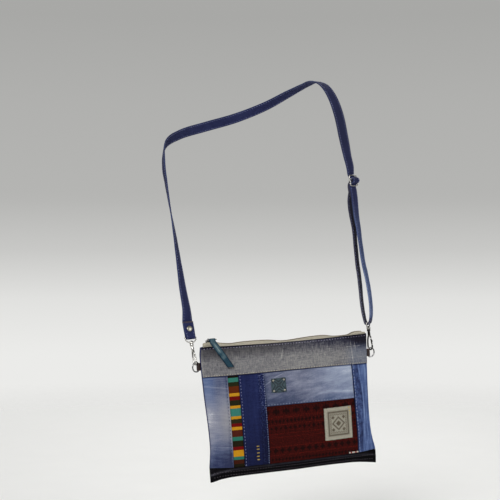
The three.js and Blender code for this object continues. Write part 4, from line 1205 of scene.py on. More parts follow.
# %% Wires and turned parts
def wire(route, radius, look, closed=False, sides=14):
    route = np.asarray(route, float)
    ahead, behind = np.roll(route, -1, 0), np.roll(route, 1, 0)
    if not closed:
        ahead[-1], behind[0] = route[-1], route[0]
    tangent = ahead - behind
    tangent /= np.linalg.norm(tangent, axis=1, keepdims=True)
    out = np.cross(tangent, look)
    out /= np.linalg.norm(out, axis=1, keepdims=True)
    up = np.cross(out, tangent)
    turn = np.arange(sides) * 2 * np.pi / sides
    radius = np.broadcast_to(radius, len(route))[:, None, None]
    ring = out[:, None] * np.cos(turn)[None, :, None] + up[:, None] * np.sin(turn)[None, :, None]
    points = (route[:, None] + ring * radius).reshape(-1, 3)
    count = len(route)
    faces = []
    for i in range(count if closed else count - 1):
        j = (i + 1) % count
        for k in range(sides):
            n = (k + 1) % sides
            faces.append((i * sides + k, j * sides + k, j * sides + n, i * sides + n))
    if not closed:
        faces.append(tuple(range(sides)))
        faces.append(tuple(range(count * sides - 1, (count - 1) * sides - 1, -1)))
    return points, faces


def turned(outline, sides=32):
    points, faces, rings = [], [], []
    for radius, height in outline:
        if radius == 0:
            rings.append([len(points)])
            points.append((0, 0, height))
        else:
            rings.append(list(range(len(points), len(points) + sides)))
            around = [2 * math.pi * k / sides for k in range(sides)]
            points += [(radius * math.cos(a), radius * math.sin(a), height) for a in around]
    for low, high in zip(rings, rings[1:]):
        for k in range(sides):
            n = (k + 1) % sides
            ring = [low[k % len(low)], low[n % len(low)], high[n % len(high)], high[k % len(high)]]
            faces.append(tuple(dict.fromkeys(ring)))
    return np.array(points, float), faces


def placed(part, frame_matrix):
    points, faces = part
    return points @ frame_matrix[:3, :3].T + frame_matrix[:3, 3], faces


def metal(name, parts, fuse=None, finish=NICKEL):
    points, faces = [], []
    for part_points, part_faces in parts:
        faces += [tuple(i + len(points) for i in face) for face in part_faces]
        points += list(part_points)
    obj = to_mesh(name, points, faces, finish)
    if fuse:
        remesh = obj.modifiers.new("cast", "REMESH")
        remesh.mode = "VOXEL"
        remesh.voxel_size = fuse * MM
        remesh.use_smooth_shade = True
        smooth = obj.modifiers.new("polish", "SMOOTH")
        smooth.factor = 0.5
        smooth.iterations = 4
        settle(obj)
    return obj


print("wire and lathe ready")

# %% [markdown]
# ## Routes and frames
# A fitting is modelled upright about its own zero and then set into a frame, which says where it stands and
# which way it looks. A smooth route goes through a few chosen places. It is timed by the distance between
# them, so that it doesn't swing out where two places lie close together.


# %% Routes and frames
def unit(vector):
    vector = np.asarray(vector, float)
    return vector / np.linalg.norm(vector)


def axes(up, look, place):
    z = unit(up)
    y = unit(np.asarray(look, float) - z * np.dot(look, z))
    made = np.eye(4)
    made[:3, 0], made[:3, 1], made[:3, 2], made[:3, 3] = np.cross(y, z), y, z, place
    return made


def smooth_route(points, count):
    points = np.asarray(points, float)
    ends = np.vstack([2 * points[0] - points[1], points, 2 * points[-1] - points[-2]])
    made = []
    for t in np.linspace(0, len(points) - 1, count):
        i = min(int(t), len(points) - 2)
        a, b, c, d = ends[i : i + 4]
        p, q, r = (max(np.linalg.norm(s) ** 0.5, 1e-4) for s in (b - a, c - b, d - c))
        leave = ((b - a) / p - (c - a) / (p + q) + (c - b) / q) * q
        reach = ((c - b) / q - (d - b) / (q + r) + (d - c) / r) * q
        t -= i
        h = t * t * (3 - 2 * t)
        made.append(b + (c - b) * h + leave * t * (1 - t) ** 2 - reach * t * t * (1 - t))
    return np.array(made)


def rounded_loop(half_width, half_length, corner, each=8):
    route = []
    for sx, sy, start in ((1, -1, -0.5), (1, 1, 0), (-1, 1, 0.5), (-1, -1, 1)):
        for k in range(each + 1):
            a = math.pi * (start + 0.5 * k / each)
            x = sx * (half_width - corner) + corner * math.cos(a)
            route.append((x, sy * (half_length - corner) + corner * math.sin(a)))
    return np.array(route)


def bag_frame(place, spin=0.0):
    c, s = math.cos(spin), math.sin(spin)
    made = np.eye(4)
    origin = hung(place)
    for k, axis in enumerate([(c, s, 0), (-s, c, 0), (0, 0, 1)]):
        made[:3, k] = hung(np.asarray(place, float) + axis) - origin
    made[:3, 3] = origin
    return made


print("routes and frames ready")

# %% [markdown]
# ## Zip slider and bail
# The slider is a small casting: a body over the chain's end and an arch on its back. A flat wire loop goes
# through the arch and carries the leather pull.

# %% Zip slider and bail
SLIDER_X = -124.0
SLIDER_Z = float(zip_top(SLIDER_X))
slider_frame = bag_frame((SLIDER_X, 0, SLIDER_Z))


def slab(outline, low, high):
    count = len(outline)
    points = [(x, y, z) for z in (low, high) for x, y in outline]
    sides = [(k, (k + 1) % count, count + (k + 1) % count, count + k) for k in range(count)]
    return np.array(points, float), [tuple(range(count - 1, -1, -1)), tuple(range(count, 2 * count))] + sides


arch = [(0, -2.6 * math.cos(a), 2.2 + 3.2 * math.sin(a)) for a in np.linspace(0, math.pi, 20)]
parts = [
    slab(rounded_loop(4.5, 3.5, 1.6), 1.2, 2.6), slab(rounded_loop(4.0, 2.0, 0.9), -1.7, 1.8),
    wire(arch, 0.7, (1, 0, 0)),
]
dress(metal("zip_slider_cast", [placed(p, slider_frame) for p in parts], 0.18), "bag", "nickel", "zip_slider")
BAIL = SimpleNamespace(x=SLIDER_X + 4.6, y=-3.4, z=SLIDER_Z + 3.7, half=7.2, reach=3.4, wire=0.6)
loop = [(x, y, 0) for x, y in rounded_loop(BAIL.half, BAIL.reach, 1.6)]
bail = placed(wire(loop, BAIL.wire, (0, 0, 1), closed=True), bag_frame((BAIL.x, BAIL.y, BAIL.z)))
dress(metal("pull_bail_wire", [bail]), "bag", "nickel", "pull_bail")
print("zip slider at", hung((SLIDER_X, 0, SLIDER_Z)).round(1))

# %% [markdown]
# ## Strips
# The pull, the side tabs and the strap are all flat strips that follow a route and face a given way along
# it. The section has two faces and round edges. The UV map holds the length along the strip and the place
# across it, so a finish can follow the strip through its turns.


# %% Strips along a route
def strip(name, route, thickness, material, relief=None, slant=0.0, faces_wide=11):
    at = np.array([r[0] for r in route], float)
    look = np.array([r[1] for r in route], float)
    width = np.array([r[2] for r in route], float)
    tangent = np.gradient(at, axis=0)
    tangent /= np.linalg.norm(tangent, axis=1, keepdims=True)
    look -= tangent * np.sum(look * tangent, 1, keepdims=True)
    look /= np.linalg.norm(look, axis=1, keepdims=True)
    side = np.cross(tangent, look)
    length = np.concatenate([[0], np.cumsum(np.linalg.norm(np.diff(at, axis=0), axis=1))])
    r = thickness / 2
    flat = np.linspace(-1, 1, faces_wide)
    bend = np.radians([67.5, 45, 22.5, 0, -22.5, -45, -67.5])
    rings, across = [], []
    for i in range(len(at)):
        half, round_edge = width[i] / 2 - r * 0.8, r * 0.8 * np.cos(bend)
        a = np.concatenate([flat * half, half + round_edge, -flat * half, -half - round_edge])
        b = np.concatenate([0 * flat + r, r * np.sin(bend), 0 * flat - r, -r * np.sin(bend)])
        if relief is not None:
            b = b + np.sign(b) * relief(length[i], a) * (np.abs(b) > r * 0.9)
        skew = slant * a * {0: -1, len(at) - 1: 1}.get(i, 0)
        ring = at[i] + a[:, None] * side[i] + b[:, None] * look[i] + skew[:, None] * tangent[i]
        rings.append(ring)
        across.append(a)
    count = len(rings[0])
    points = np.concatenate(rings)
    faces, uv = [], []
    for i in range(len(at) - 1):
        for k in range(count):
            n = (k + 1) % count
            faces.append((i * count + k, (i + 1) * count + k, (i + 1) * count + n, i * count + n))
            for row, col in ((i, k), (i + 1, k), (i + 1, n), (i, n)):
                uv.append((length[row], across[row][col]))
    for end, order in ((0, 1), (len(at) - 1, -1)):
        cap = [end * count + k for k in range(count)][::order]
        faces.append(tuple(cap))
        uv += [(length[end], across[end][k % count]) for k in (np.array(cap) - end * count)]
    return to_mesh(name, points, faces, material, uv), length, side, look


print("strips ready")

# %% [markdown]
# ## Zip pull
# A leather strip is folded round the bail and both halves hang together over the front. Its end is cut on a
# slant. Two flat tongues would show no fold, so one strip is laid from the back half over the bail to the
# front half.


# %% Zip pull
PULL_WIDTH, PULL_THICK = 9.4, 1.2
# Places down the pull, each with the way that its front looks
PULL_ROUTE = [
    ((-119.0, -8.3, 8.6), (0.1, -0.95, 0.3)), ((-114.5, -9.4, 1.5), (0.1, -0.99, 0.1)),
    ((-108.4, -10, -8), (0.08, -1, 0)), ((-101.8, -10.8, -18.5), (0.05, -1, 0)),
    ((-94, -11.8, -31.5), (0.03, -1, 0)),
]


def pull_route():
    places = smooth_route([p for p, _ in PULL_ROUTE], 26)
    looks = smooth_route([f for _, f in PULL_ROUTE], 26)
    looks /= np.linalg.norm(looks, axis=1, keepdims=True)
    layer = (PULL_THICK + GAP) / 2
    bar = np.array([BAIL.x, BAIL.y - BAIL.reach, BAIL.z])
    turn = BAIL.wire + GAP + PULL_THICK / 2
    front = [(p + f * layer, f, PULL_WIDTH) for p, f in zip(places, looks)]
    back = [(p - f * layer, -f, PULL_WIDTH) for p, f in zip(places, looks)][::-1]
    down = unit((places[0] - bar) * (0, 1, 1))
    out = -np.array([0, down[2], -down[1]])
    bend = [out * math.sin(a) - down * math.cos(a) for a in np.linspace(-math.pi / 2, math.pi / 2, 14)]
    fold = [(bar + f * turn, f, PULL_WIDTH) for f in bend]
    if np.dot(front[0][1], out) < 0:
        fold = fold[::-1]
    spin = hung(np.eye(3)) - hung(np.zeros(3))
    return [(hung(p), f @ spin, w) for p, f, w in back + fold + front]


def pull_relief(length, across):
    return 0.22 * (1 - (across / (PULL_WIDTH / 2)) ** 2)


pull, *_ = strip("zip_pull_leather", pull_route(), PULL_THICK, PULL_LEATHER, pull_relief, slant=-0.62)
dress(pull, "bag", "teal_leather", "zip_pull")
print("zip pull of", len(pull.data.polygons), "faces")

# %% [markdown]
# ## Patches and studs
# The canvas label and the leather patch lie on the front and follow its curve. Four small domed studs hold
# the leather at its corners. A narrow woven tab is caught in the hem seam.


# %% Patches and studs
def patch(name, x0, x1, top, foot, thickness, material, slot, node, ragged=0.0):
    wide, tall = int((x1 - x0) / 0.9) + 2, int((top - foot) / 0.9) + 2
    u, v = grid(wide, tall)
    x, z = mix(x0, x1, u), mix(top, foot, v)
    x = x + ragged * np.sin(z * 2.1 + np.sin(z)) * np.abs(2 * u - 1) ** 8
    z = z + ragged * np.sin(x * 1.9 + np.sin(x * 1.3)) * np.abs(2 * v - 1) ** 8
    edge = np.maximum(np.abs(2 * u - 1) ** 14, np.abs(2 * v - 1) ** 14)
    y = -front_depth(x, z) - thickness - GAP - 0.1 - 0.15 * ripple(x * 2, z * 2) + 0.25 * edge
    made = cloth_wall(name, hung(np.stack([x, y, z], -1)), np.stack([x, z], -1), thickness, material)
    return dress(made, "bag", slot, node)


patch("label_patch_canvas", 51.2, 97.8, -110.3, -160.9, PATCH_THICK, CANVAS, "canvas", "label_patch", 0.25)
patch(
    "stud_patch_leather", -31.7, -7.8, -55.2, -77.6, PATCH_THICK, PATCH_LEATHER,
    "teal_leather", "stud_patch", 0.1,
)
patch("seam_tab_cloth", 91.0, 107.0, -183.8, -186.1, 0.8, SEAM_TAB, "cream_tape", "seam_tab")
STUD = 1.5
dome = [(0, 0), (STUD, 0), (STUD * 1.02, 0.25)]
dome += [(STUD * math.cos(a), 0.35 + 0.85 * math.sin(a)) for a in np.linspace(0.1, 1.45, 8)] + [(0, 1.2)]
for place, x, z in [
    ("upper_left", -28.4, -58.4), ("upper_right", -11.1, -58.4), ("lower_left", -28.4, -74.4),
    ("lower_right", -11.1, -74.4),
]:
    y = -float(front_depth(x, z)) - PATCH_THICK - 2 * GAP - 0.2
    base = bag_frame((x, y, z))
    stand = base.copy()
    stand[:3, 1], stand[:3, 2] = base[:3, 2], -base[:3, 1]
    stud = metal(f"stud_{place}_dome", [placed(turned(dome, 24), stand)], finish=SOFT_NICKEL)
    dress(stud, "bag", "nickel", f"stud_{place}")
print("patches and studs made")

# %% [markdown]
# ## Side rings and hooks
# A short leather tab is sewn into each side seam and holds a D-ring. The swivel hook grips the ring: a cast
# body with a post that turns in the eye, a sprung gate, and the eye with a bar that the strap goes round.
# Body, gate and eye move on their own, so each is its own piece on its own body.

# %% Sizes of rings and hooks
RING_WIRE, RING_HALF, RING_DEPTH, RING_BEND, RING_CORNER = 1.0, 7.2, 10.7, 4, 1.8
TAB_HEIGHT, TAB_REACH, TAB_THICK = 11.8, 4.2, 1.2
EYE_WIRE, EYE_HALF, EYE_DEPTH, EYE_CORNER, POST = 1.0, 9.4, 8.5, 1.4, 1.45
HOOK_WIRE, HOOK_HALF, HOOK_SHOULDER, HOOK_TOP, HOOK_BOTTOM = 1.35, 4.6, 3.2, -19.4, -43.0
GATE_PIVOT, GATE_WIRE = -25.0, 1.15
LEFT_EYE, RIGHT_EYE = np.array([-0.24, 0.97, 0]), np.array([0.8, -0.6, 0])
# Side, sign, level of the tab, turn of the ring, place on its bow, way of the gate, axis, eye's face, plate
# the plate is the lit or the shaded copy of the nickel, with painted reflection
HANGERS = [
    ("left", -1, -28.0, 25, 5.2, (0.19, -0.98, 0), (-0.115, 0.3, 0.95), LEFT_EYE, LIT_NICKEL),
    ("right", 1, -31.0, -10, 4.2, (0.41, -0.91, 0), (-0.11, -0.02, 0.99), RIGHT_EYE, SHADED_NICKEL),
]


def ring_route():
    h, r, deep = RING_HALF, RING_CORNER, RING_DEPTH - RING_BEND
    half_turn, quarter = np.linspace(math.pi / 2, -math.pi / 2, 40), np.linspace(math.pi / 2, 0.05, 8)
    bow = [(RING_BEND + deep * math.cos(a), h * math.sin(a)) for a in half_turn]
    corner = [(r * (1 - math.sin(a)), h - r + r * math.cos(a)) for a in quarter]
    foot = [(x, -y) for x, y in corner[::-1]]
    flat = corner + [(2.9, h)] + bow + [(2.9, -h)] + foot
    flat += [(0, y) for y in np.linspace(-h + 3.2, h - 3.2, 6)]
    return [(x, 0, y) for x, y in flat]


def eye_parts():
    w, r = EYE_HALF, EYE_CORNER
    half = [(2.3, -EYE_DEPTH)]
    curve = [(0, -EYE_DEPTH), (4.4, -EYE_DEPTH), (w, -5.2), (w, -2.4)]
    for t in np.linspace(0.25, 1, 14):
        b = [(1 - t) ** 3, 3 * t * (1 - t) ** 2, 3 * t * t * (1 - t), t**3]
        half.append(tuple(sum(k * p[j] for k, p in zip(b, curve)) for j in (0, 1)))
    half += [(w - r + r * math.cos(a), -r + r * math.sin(a)) for a in np.linspace(0.0, math.pi / 2, 8)]
    route = half + [(0, 0)] + [(-x, z) for x, z in half[::-1]]
    loop = wire([(x, 0, z) for x, z in route], EYE_WIRE, (0, 1, 0))
    bore = POST + GAP
    boss = [(bore, -10.3), (3, -10.3), (3.2, -9.6), (3.2, -7.9), (3, -7.2), (bore, -7.2), (bore, -10.3)]
    return [loop, turned(boss, 32)]


def hook_parts():
    w, arc = HOOK_HALF, HOOK_BOTTOM + HOOK_HALF
    spine = smooth_route([
        (0, 0, HOOK_TOP + 0.5), (-1.7, 0, HOOK_TOP - 1.8), (-HOOK_SHOULDER, 0, HOOK_TOP - 6),
        (-w + 0.3, 0, HOOK_TOP - 12), (-w, 0, arc),
    ], 40)
    bend = [(w * math.cos(a), 0, arc + w * math.sin(a)) for a in np.linspace(math.pi, 2 * math.pi, 24)[1:]]
    body = wire(np.vstack([spine, bend, [(w, 0, arc + 3)]]), HOOK_WIRE, (0, 1, 0), sides=20)
    arm = smooth_route([
        (0, 0, HOOK_TOP + 0.5), (1.7, 0, HOOK_TOP - 1.8), (2.7, 0, HOOK_TOP - 3.5),
        (HOOK_SHOULDER, 0, GATE_PIVOT + 0.7),
    ], 20)
    post = turned([
        (0, HOOK_TOP - 1.4), (1.8, HOOK_TOP - 1.2), (2.4, HOOK_TOP + 0.4), (2.1, -14.2), (2.9, -12.8),
        (2.9, -10.6), (POST, -10.6), (POST, -6.9), (2.5, -6.9), (2.5, -6.2), (1.6, -5.5), (0, -5.3),
    ])
    return [body, wire(arm, HOOK_WIRE, (0, 1, 0), sides=20), post]


def gate_parts():
    head, foot = (HOOK_SHOULDER, 0, GATE_PIVOT - 0.45), (HOOK_HALF, 0, HOOK_BOTTOM + HOOK_HALF + 3.5)
    bar = wire(np.linspace(head, foot, 12), GATE_WIRE, (0, 1, 0), sides=20)
    outline = [(math.cos(a), math.sin(a)) for a in np.linspace(-math.pi / 2, math.pi / 2, 14)]
    ball = turned([(0, -1)] + outline[1:-1] + [(0, 1)], 24)
    return [bar, (ball[0] * (1.6, 1, 1.8) + (HOOK_SHOULDER + 1.7, 0, GATE_PIVOT - 4.3), ball[1])]


print("hook", round(HOOK_TOP - HOOK_BOTTOM, 1), "mm from swivel to bend")

# %% [markdown]
# ## Rings, tabs and hooks in place
# The tab is folded round the ring's straight side, and the hook pulls on the ring's bow. One loop makes
# both sides from the table above: it sets the tab on the side seam, turns the ring about its straight side,
# and stands the hook on the ring with a small gap, where it would come to rest under load.


# %% Rings, tabs and hooks
def tab_route(sign):
    turn = RING_WIRE + GAP + TAB_THICK / 2
    root, half = -sign * (TAB_REACH - 2 * GAP - 0.1), (TAB_THICK + GAP) / 2 + 0.05
    bend = []
    for t in np.linspace(0, 1, 22):
        a = math.pi * (t - 0.5) * 1.16
        f = np.array([sign * math.cos(a), -math.sin(a), 0])
        bend.append((f * turn, f))
    ends = [((root, side * half, 0), (0, side, 0)) for side in (1, -1)]
    near = [((root * 0.7, side * (half + 0.1), 0), (0, side, 0)) for side in (1, -1)]
    return [ends[0], near[0]] + bend + [near[1], ends[1]]


eyes = {}
for side, sign, z, turn, reach, gate, axis, faces, plate in HANGERS:
    edge = float(EDGES.left(z) if sign < 0 else EDGES.right(z))
    bar = np.array([edge + sign * TAB_REACH, float(EDGES.behind(z) - edge_depth(z) + DENIM + GAP) / 2, z])
    still = bag_frame(bar)
    route = [(still[:3, :3] @ p + still[:3, 3], still[:3, :3] @ f, TAB_HEIGHT) for p, f in tab_route(sign)]
    tab, *_ = strip(f"side_tab_{side}_leather", route, TAB_THICK, BROWN_LEATHER)
    dress(tab, "bag", "brown_leather", f"side_tab_{side}")
    spin = math.radians(180 + turn if sign < 0 else -turn)
    hold = bag_frame(bar, spin)
    ring = placed(wire(ring_route(), RING_WIRE, (0, 1, 0), closed=True, sides=18), hold)
    dress(metal(f"d_ring_{side}_wire", [ring]), "bag", "nickel", f"d_ring_{side}")
    top = RING_HALF * math.sqrt(1 - ((reach - RING_BEND) / (RING_DEPTH - RING_BEND)) ** 2)
    grip = hold[:3, :3] @ (reach, 0, top) + hold[:3, 3]
    up = unit(axis)
    place = grip - up * (HOOK_BOTTOM + HOOK_WIRE + 2 * GAP + RING_WIRE)
    body = axes(up, np.cross(up, gate), place)
    head = axes(up, faces, place)
    for node, parts, where, rider, fuse, finish in [
        (f"hook_{side}", hook_parts(), body, f"{side}_hook", 0.24, plate),
        (f"hook_gate_{side}", gate_parts(), body, f"{side}_gate", 0.2, plate),
        (f"hook_eye_{side}", eye_parts(), head, "bag", 0.22, LIT_NICKEL),
    ]:
        dress(metal(f"{node}_cast", [placed(p, where) for p in parts], fuse, finish), rider, "nickel", node)
    eyes[side] = (place, head[:3, 0])
    print(side, "hook hangs at", place.round(1))

# %% [markdown]
# ## Strap
# The strap is one long denim strip: riveted round the left hook's eye, up behind, over the top, down
# through the slider, round the right hook's eye and back up to the slider's middle bar. A curve with a
# bevel would twist where it likes, so its route is a short list of places, each with the way that the outer
# face looks there.

# %% Strap route
STRAP_WIDTH, STRAP_AT_EYE, STRAP_THICK, STRAP_TAIL, STRAP_SLACK = 17.5, 16.0, 1.8, 24.5, 3.8
STRAP_LAYER = STRAP_THICK + GAP
STRAP_TURN = EYE_WIRE + GAP + STRAP_THICK / 2
STRAP_ROUTE = [
    ((-237.3, -78, -370), (-0.5, 0.86, 0)), ((-240.2, -66, -338.7), (-0.62, 0.78, 0)),
    ((-243.4, -50, -293), (-0.79, 0.61, 0)), ((-246.4, -33, -248), (-0.89, 0.45, 0)),
    ((-248.8, -16, -212), (-0.96, 0.27, 0)), ((-250.2, 5, -174), (-0.99, 0.1, 0)),
    ((-250, 27, -138), (-1, 0, 0.08)), ((-239.5, 60, -104), (-0.9, 0.36, 0.2)),
    ((-206, 96, -83), (-0.6, 0.75, 0.24)), ((-155, 119, -66), (-0.3, 0.92, 0.26)),
    ((-100, 124, -49), (-0.1, 0.93, 0.34)), ((-52, 108, -29), (0, 0.84, 0.54)),
    ((-20, 76, -10), (0, 0.66, 0.75)), ((-5, 38, -0.5), (0, 0.3, 0.95)),
    ((0, 0, 1.2), (0.05, 0, 1)), ((6, -30, -9), (0.1, -0.5, 0.86)),
    ((11.5, -52, -30), (0.12, -0.86, 0.5)), ((16.5, -69, -61), (0.08, -0.96, 0.26)),
    ((20.5, -80, -98), (0.16, -0.98, 0.1)), ((24.8, -87, -131), (0.4, -0.91, 0.04)),
]


def sheet_frame(origin, along, faces):
    t = unit(along)
    n = unit(np.asarray(faces, float) - t * np.dot(faces, t))
    return lambda up, out: np.asarray(origin) + t * up + n * out


def end_frame(eye, along, faces):
    place, bar = eye
    t = along - bar * np.dot(along, bar)
    n = np.cross(bar, t)
    return sheet_frame(place, t, n * np.sign(np.dot(n, faces)))


left_end = end_frame(eyes["left"], np.array(STRAP_ROUTE[0][0], float) - eyes["left"][0], LEFT_EYE)


def eye_width(up):
    return float(mix(STRAP_AT_EYE, STRAP_WIDTH, smoothstep(up, 2, 12)))


def riveted_end():
    turn, half = STRAP_TURN, STRAP_LAYER / 2
    taper = [(STRAP_TAIL, half), (20, half), (12, half + 0.05), (6, half + 0.5), (2, turn - 0.15)]
    tail = [(left_end(up, -out), -LEFT_EYE, eye_width(up)) for up, out in taper]
    around = np.linspace(0, math.pi, 13)[1:-1]
    bend = [left_end(-turn * math.sin(a), -turn * math.cos(a)) for a in around]
    bend = [(p, p - eyes["left"][0], STRAP_AT_EYE) for p in bend]
    rise = [(left_end(up, out), LEFT_EYE, eye_width(up)) for up, out in taper[::-1]]
    return tail + bend + rise


def long_run(count=241):
    places = np.array([p for p, _ in STRAP_ROUTE], float)
    path = smooth_route([left_end(STRAP_TAIL, STRAP_LAYER / 2), *places], count)[1:-1]
    looks = smooth_route([LEFT_EYE] + [f for _, f in STRAP_ROUTE], count)[1:-1]
    return [(p, f, STRAP_WIDTH) for p, f in zip(path, looks)]


coarse = riveted_end() + long_run()
print("strap route of", len(coarse), "places down to the slider")

# %% [markdown]
# ## Strap below the slider
# The strap passes the slider in an arch over its middle bar, goes down to the right hook's eye and comes
# back behind itself to the bar, where its end is tucked in. The two strands of that stretch bow apart, so a
# table gives their distance and their bow along the way. Arcs in the slider's own plane give the turns
# round its bars.

# %% Strap below the slider
SLIDER_WIRE, SLIDER_BAR, SLIDER_HALF_WIDTH, SLIDER_HALF_LENGTH, SLIDER_ARCH = 1.0, 0.9, 10.3, 8.4, 1.5
SLIDER_PLACE = np.array([32, -93, -167.2])
SLIDER_FACES = np.array([0.6, -0.8, 0.02])
SLIDER_UP = (-0.14, 0.12, 0.98)
UNDER_SLIDER = SLIDER_WIRE + GAP + STRAP_THICK / 2 + 0.5
OVER_BAR = SLIDER_BAR + GAP + STRAP_THICK + GAP + STRAP_THICK / 2 + 0.12
ARCH_TOP = OVER_BAR + SLIDER_ARCH
ARCH_START, ARCH_END = math.radians(5), math.radians(175)
STRANDS = columns("apart bow", [
    [0, 2 * STRAP_LAYER, 0], [0.05, 7.6, -1.4], [0.1, 8.4, -2], [0.18, 7.8, -2.1], [0.28, 7.4, -1],
    [0.38, 8.4, -1.2], [0.55, 10.3, -0.9], [0.63, 11.8, 0.3], [0.72, 13.4, 1], [0.81, 14.6, 1.1],
    [0.9, 13.8, 0.9], [0.95, 11.6, 0.7], [1, 2 * STRAP_SLACK, 0],
])
BOW = np.array([0.96, -0.29, 0])
STRAND_FACES = np.array([0.77, -0.64, 0])
slider_plane = sheet_frame(SLIDER_PLACE, SLIDER_UP, SLIDER_FACES)


def in_slider(up, out, sign=1):
    return slider_plane(up, out), sign * SLIDER_FACES, STRAP_WIDTH


def slider_way(up, out):
    return slider_plane(up, out) - SLIDER_PLACE


def over_slider():
    last = np.array(STRAP_ROUTE[-1][1])
    entry = [(22, -1.6, 0.3), (15, -2.3, 0.65), (SLIDER_HALF_LENGTH, -UNDER_SLIDER, 1)]
    above = [(slider_plane(up, out), mix(last, SLIDER_FACES, share), STRAP_WIDTH) for up, out, share in entry]
    arch = []
    for a in np.linspace(ARCH_START, ARCH_END, 17):
        c, s = math.cos(a), math.sin(a)
        look = slider_way(ARCH_TOP * c, OVER_BAR * s)
        arch.append((slider_plane(OVER_BAR * c, ARCH_TOP * s), look, STRAP_WIDTH))
    return above + arch + [in_slider(-SLIDER_HALF_LENGTH, -UNDER_SLIDER), in_slider(-14, -UNDER_SLIDER)]


def doubled_stretch():
    start = slider_plane(-18, -UNDER_SLIDER - STRAP_LAYER)
    line = eyes["right"][0] - start
    strands = {1: [], -1: []}
    for way in np.linspace(0, 1, 61)[:-1]:
        faces = mix(SLIDER_FACES, STRAND_FACES, smoothstep(way, 0, 0.4))
        faces = mix(faces, RIGHT_EYE, smoothstep(way, 0.6, 1))
        here = sheet_frame(start + line * way + BOW * STRANDS.bow(way), line, faces)
        width = float(mix(STRAP_WIDTH, STRAP_AT_EYE, smoothstep(way, 0.93, 0.98)))
        for sign in (1, -1):
            strands[sign].append((here(0, sign * STRANDS.apart(way) / 2), sign * faces, width))
    right, slack = end_frame(eyes["right"], -line, RIGHT_EYE), STRAP_SLACK
    arcs = np.linspace(0, math.pi, 13)
    bottom = [right(slack * (1 - math.sin(a)) - STRAP_TURN, slack * math.cos(a)) for a in arcs]
    bottom = [(p, p - right(slack - STRAP_TURN, 0), STRAP_AT_EYE) for p in bottom]
    return strands[1] + bottom + strands[-1][::-1]


def beside_arch(depth):
    low = (-OVER_BAR * math.cos(ARCH_START), ARCH_TOP * math.sin(ARCH_START))
    along, out = unit((SLIDER_HALF_LENGTH + low[0], -UNDER_SLIDER - low[1]))
    return [
        (low[0] - out * depth, low[1] - along * depth),
        (-SLIDER_HALF_LENGTH - out * depth, -UNDER_SLIDER - along * depth),
    ]


def tucked_end():
    hold = SLIDER_BAR + GAP + STRAP_THICK / 2
    back_high, back_low = beside_arch(2 * STRAP_LAYER)
    tuck_high, tuck_low = beside_arch(STRAP_LAYER)
    into = [in_slider(*p, -1) for p in [(-13, -UNDER_SLIDER - 2 * STRAP_LAYER), back_low, back_high]]
    loop = []
    for a in np.linspace(-math.pi / 2, math.pi, 14):
        c, s = math.cos(a), math.sin(a)
        loop.append((slider_plane(hold * c, hold * s), slider_way(c, s), STRAP_WIDTH))
    ends = [(-13, -UNDER_SLIDER - STRAP_LAYER), (-26, -UNDER_SLIDER - STRAP_LAYER)]
    return into + loop + [in_slider(*p) for p in [tuck_high, tuck_low, *ends]]


coarse += over_slider() + doubled_stretch() + tucked_end()
print("whole strap route of", len(coarse), "places")

# %% [markdown]
# ## Strap cloth
# The places of the route lie unevenly, and the turns round the bars would show corners, so a finer route is
# laid through them first. A shallow puckered groove runs beside one row of stitches, and the strip is
# slightly full in its middle.


# %% Strap cloth
def finer(route, step):
    at = np.array([r[0] for r in route], float)
    ends = np.vstack([2 * at[0] - at[1], at, 2 * at[-1] - at[-2]])
    made = []
    for i in range(len(at) - 1):
        count = max(1, int(np.linalg.norm(at[i + 1] - at[i]) / step))
        piece = smooth_route(ends[i : i + 4], 3 * count + 1)[count : 2 * count]
        for k, place in enumerate(piece):
            share = k / count
            look = mix(unit(route[i][1]), unit(route[i + 1][1]), share)
            made.append((place, look, mix(route[i][2], route[i + 1][2], share)))
    return made + [route[-1]]


def strap_relief(length, across):
    pucker = 0.5 + 0.5 * math.sin(length * 1.05 + math.sin(length * 0.13))
    groove = np.exp(-(((across - 6.9) / 0.7) ** 2)) * (0.1 + 0.12 * pucker)
    soft = 0.06 * np.sin(length * 0.21 + across * 0.3) + 0.05 * np.sin(length * 0.53 - across * 0.5)
    return 0.12 * (1 - (across / (STRAP_WIDTH / 2)) ** 2) - groove + soft


strap_places = finer(coarse, 2.6)
strap, strap_length, strap_side, strap_look = strip(
    "strap_cloth", strap_places, STRAP_THICK, STRAP_DENIM, strap_relief
)
dress(strap, "bag", "indigo_denim", "strap")
print("strap", round(float(strap_length[-1])), "mm long,", len(strap.data.polygons), "faces")

# %% [markdown]
# ## Rivet and slider buckle
# A domed rivet with a thin shank holds the folded end. It is round, so one outline is spun about its axis.
# The slider is a bent wire with a middle bar, and the remesh fuses the two as brazing would.

# %% Rivet and slider buckle
RIVET, SHANK, RIVET_UP = 4.5, 1.3, 13.2
face = STRAP_LAYER / 2 + STRAP_THICK / 2 + GAP
outline = [(0, -face - 1), (RIVET - 0.6, -face - 1), (RIVET - 0.1, -face - 0.8), (RIVET, -face - 0.5)]
outline += [(RIVET, -face), (SHANK, -face), (SHANK, face), (RIVET, face)]
outline += [(RIVET + 0.05, face + 0.3), (RIVET, face + 0.6)]
outline += [(RIVET * math.cos(a), face + 0.6 + 1.2 * math.sin(a)) for a in np.linspace(0.25, 1.5, 9)]
outline += [(0, face + 1.8)]
out_way, up_way = left_end(0, -1) - left_end(0, 0), left_end(1, 0) - left_end(0, 0)
rivet_frame = axes(out_way, up_way, left_end(RIVET_UP, 0))
rivet = metal("strap_rivet_dome", [placed(turned(outline, 40), rivet_frame)], finish=SOFT_NICKEL)
dress(rivet, "bag", "nickel", "strap_rivet")

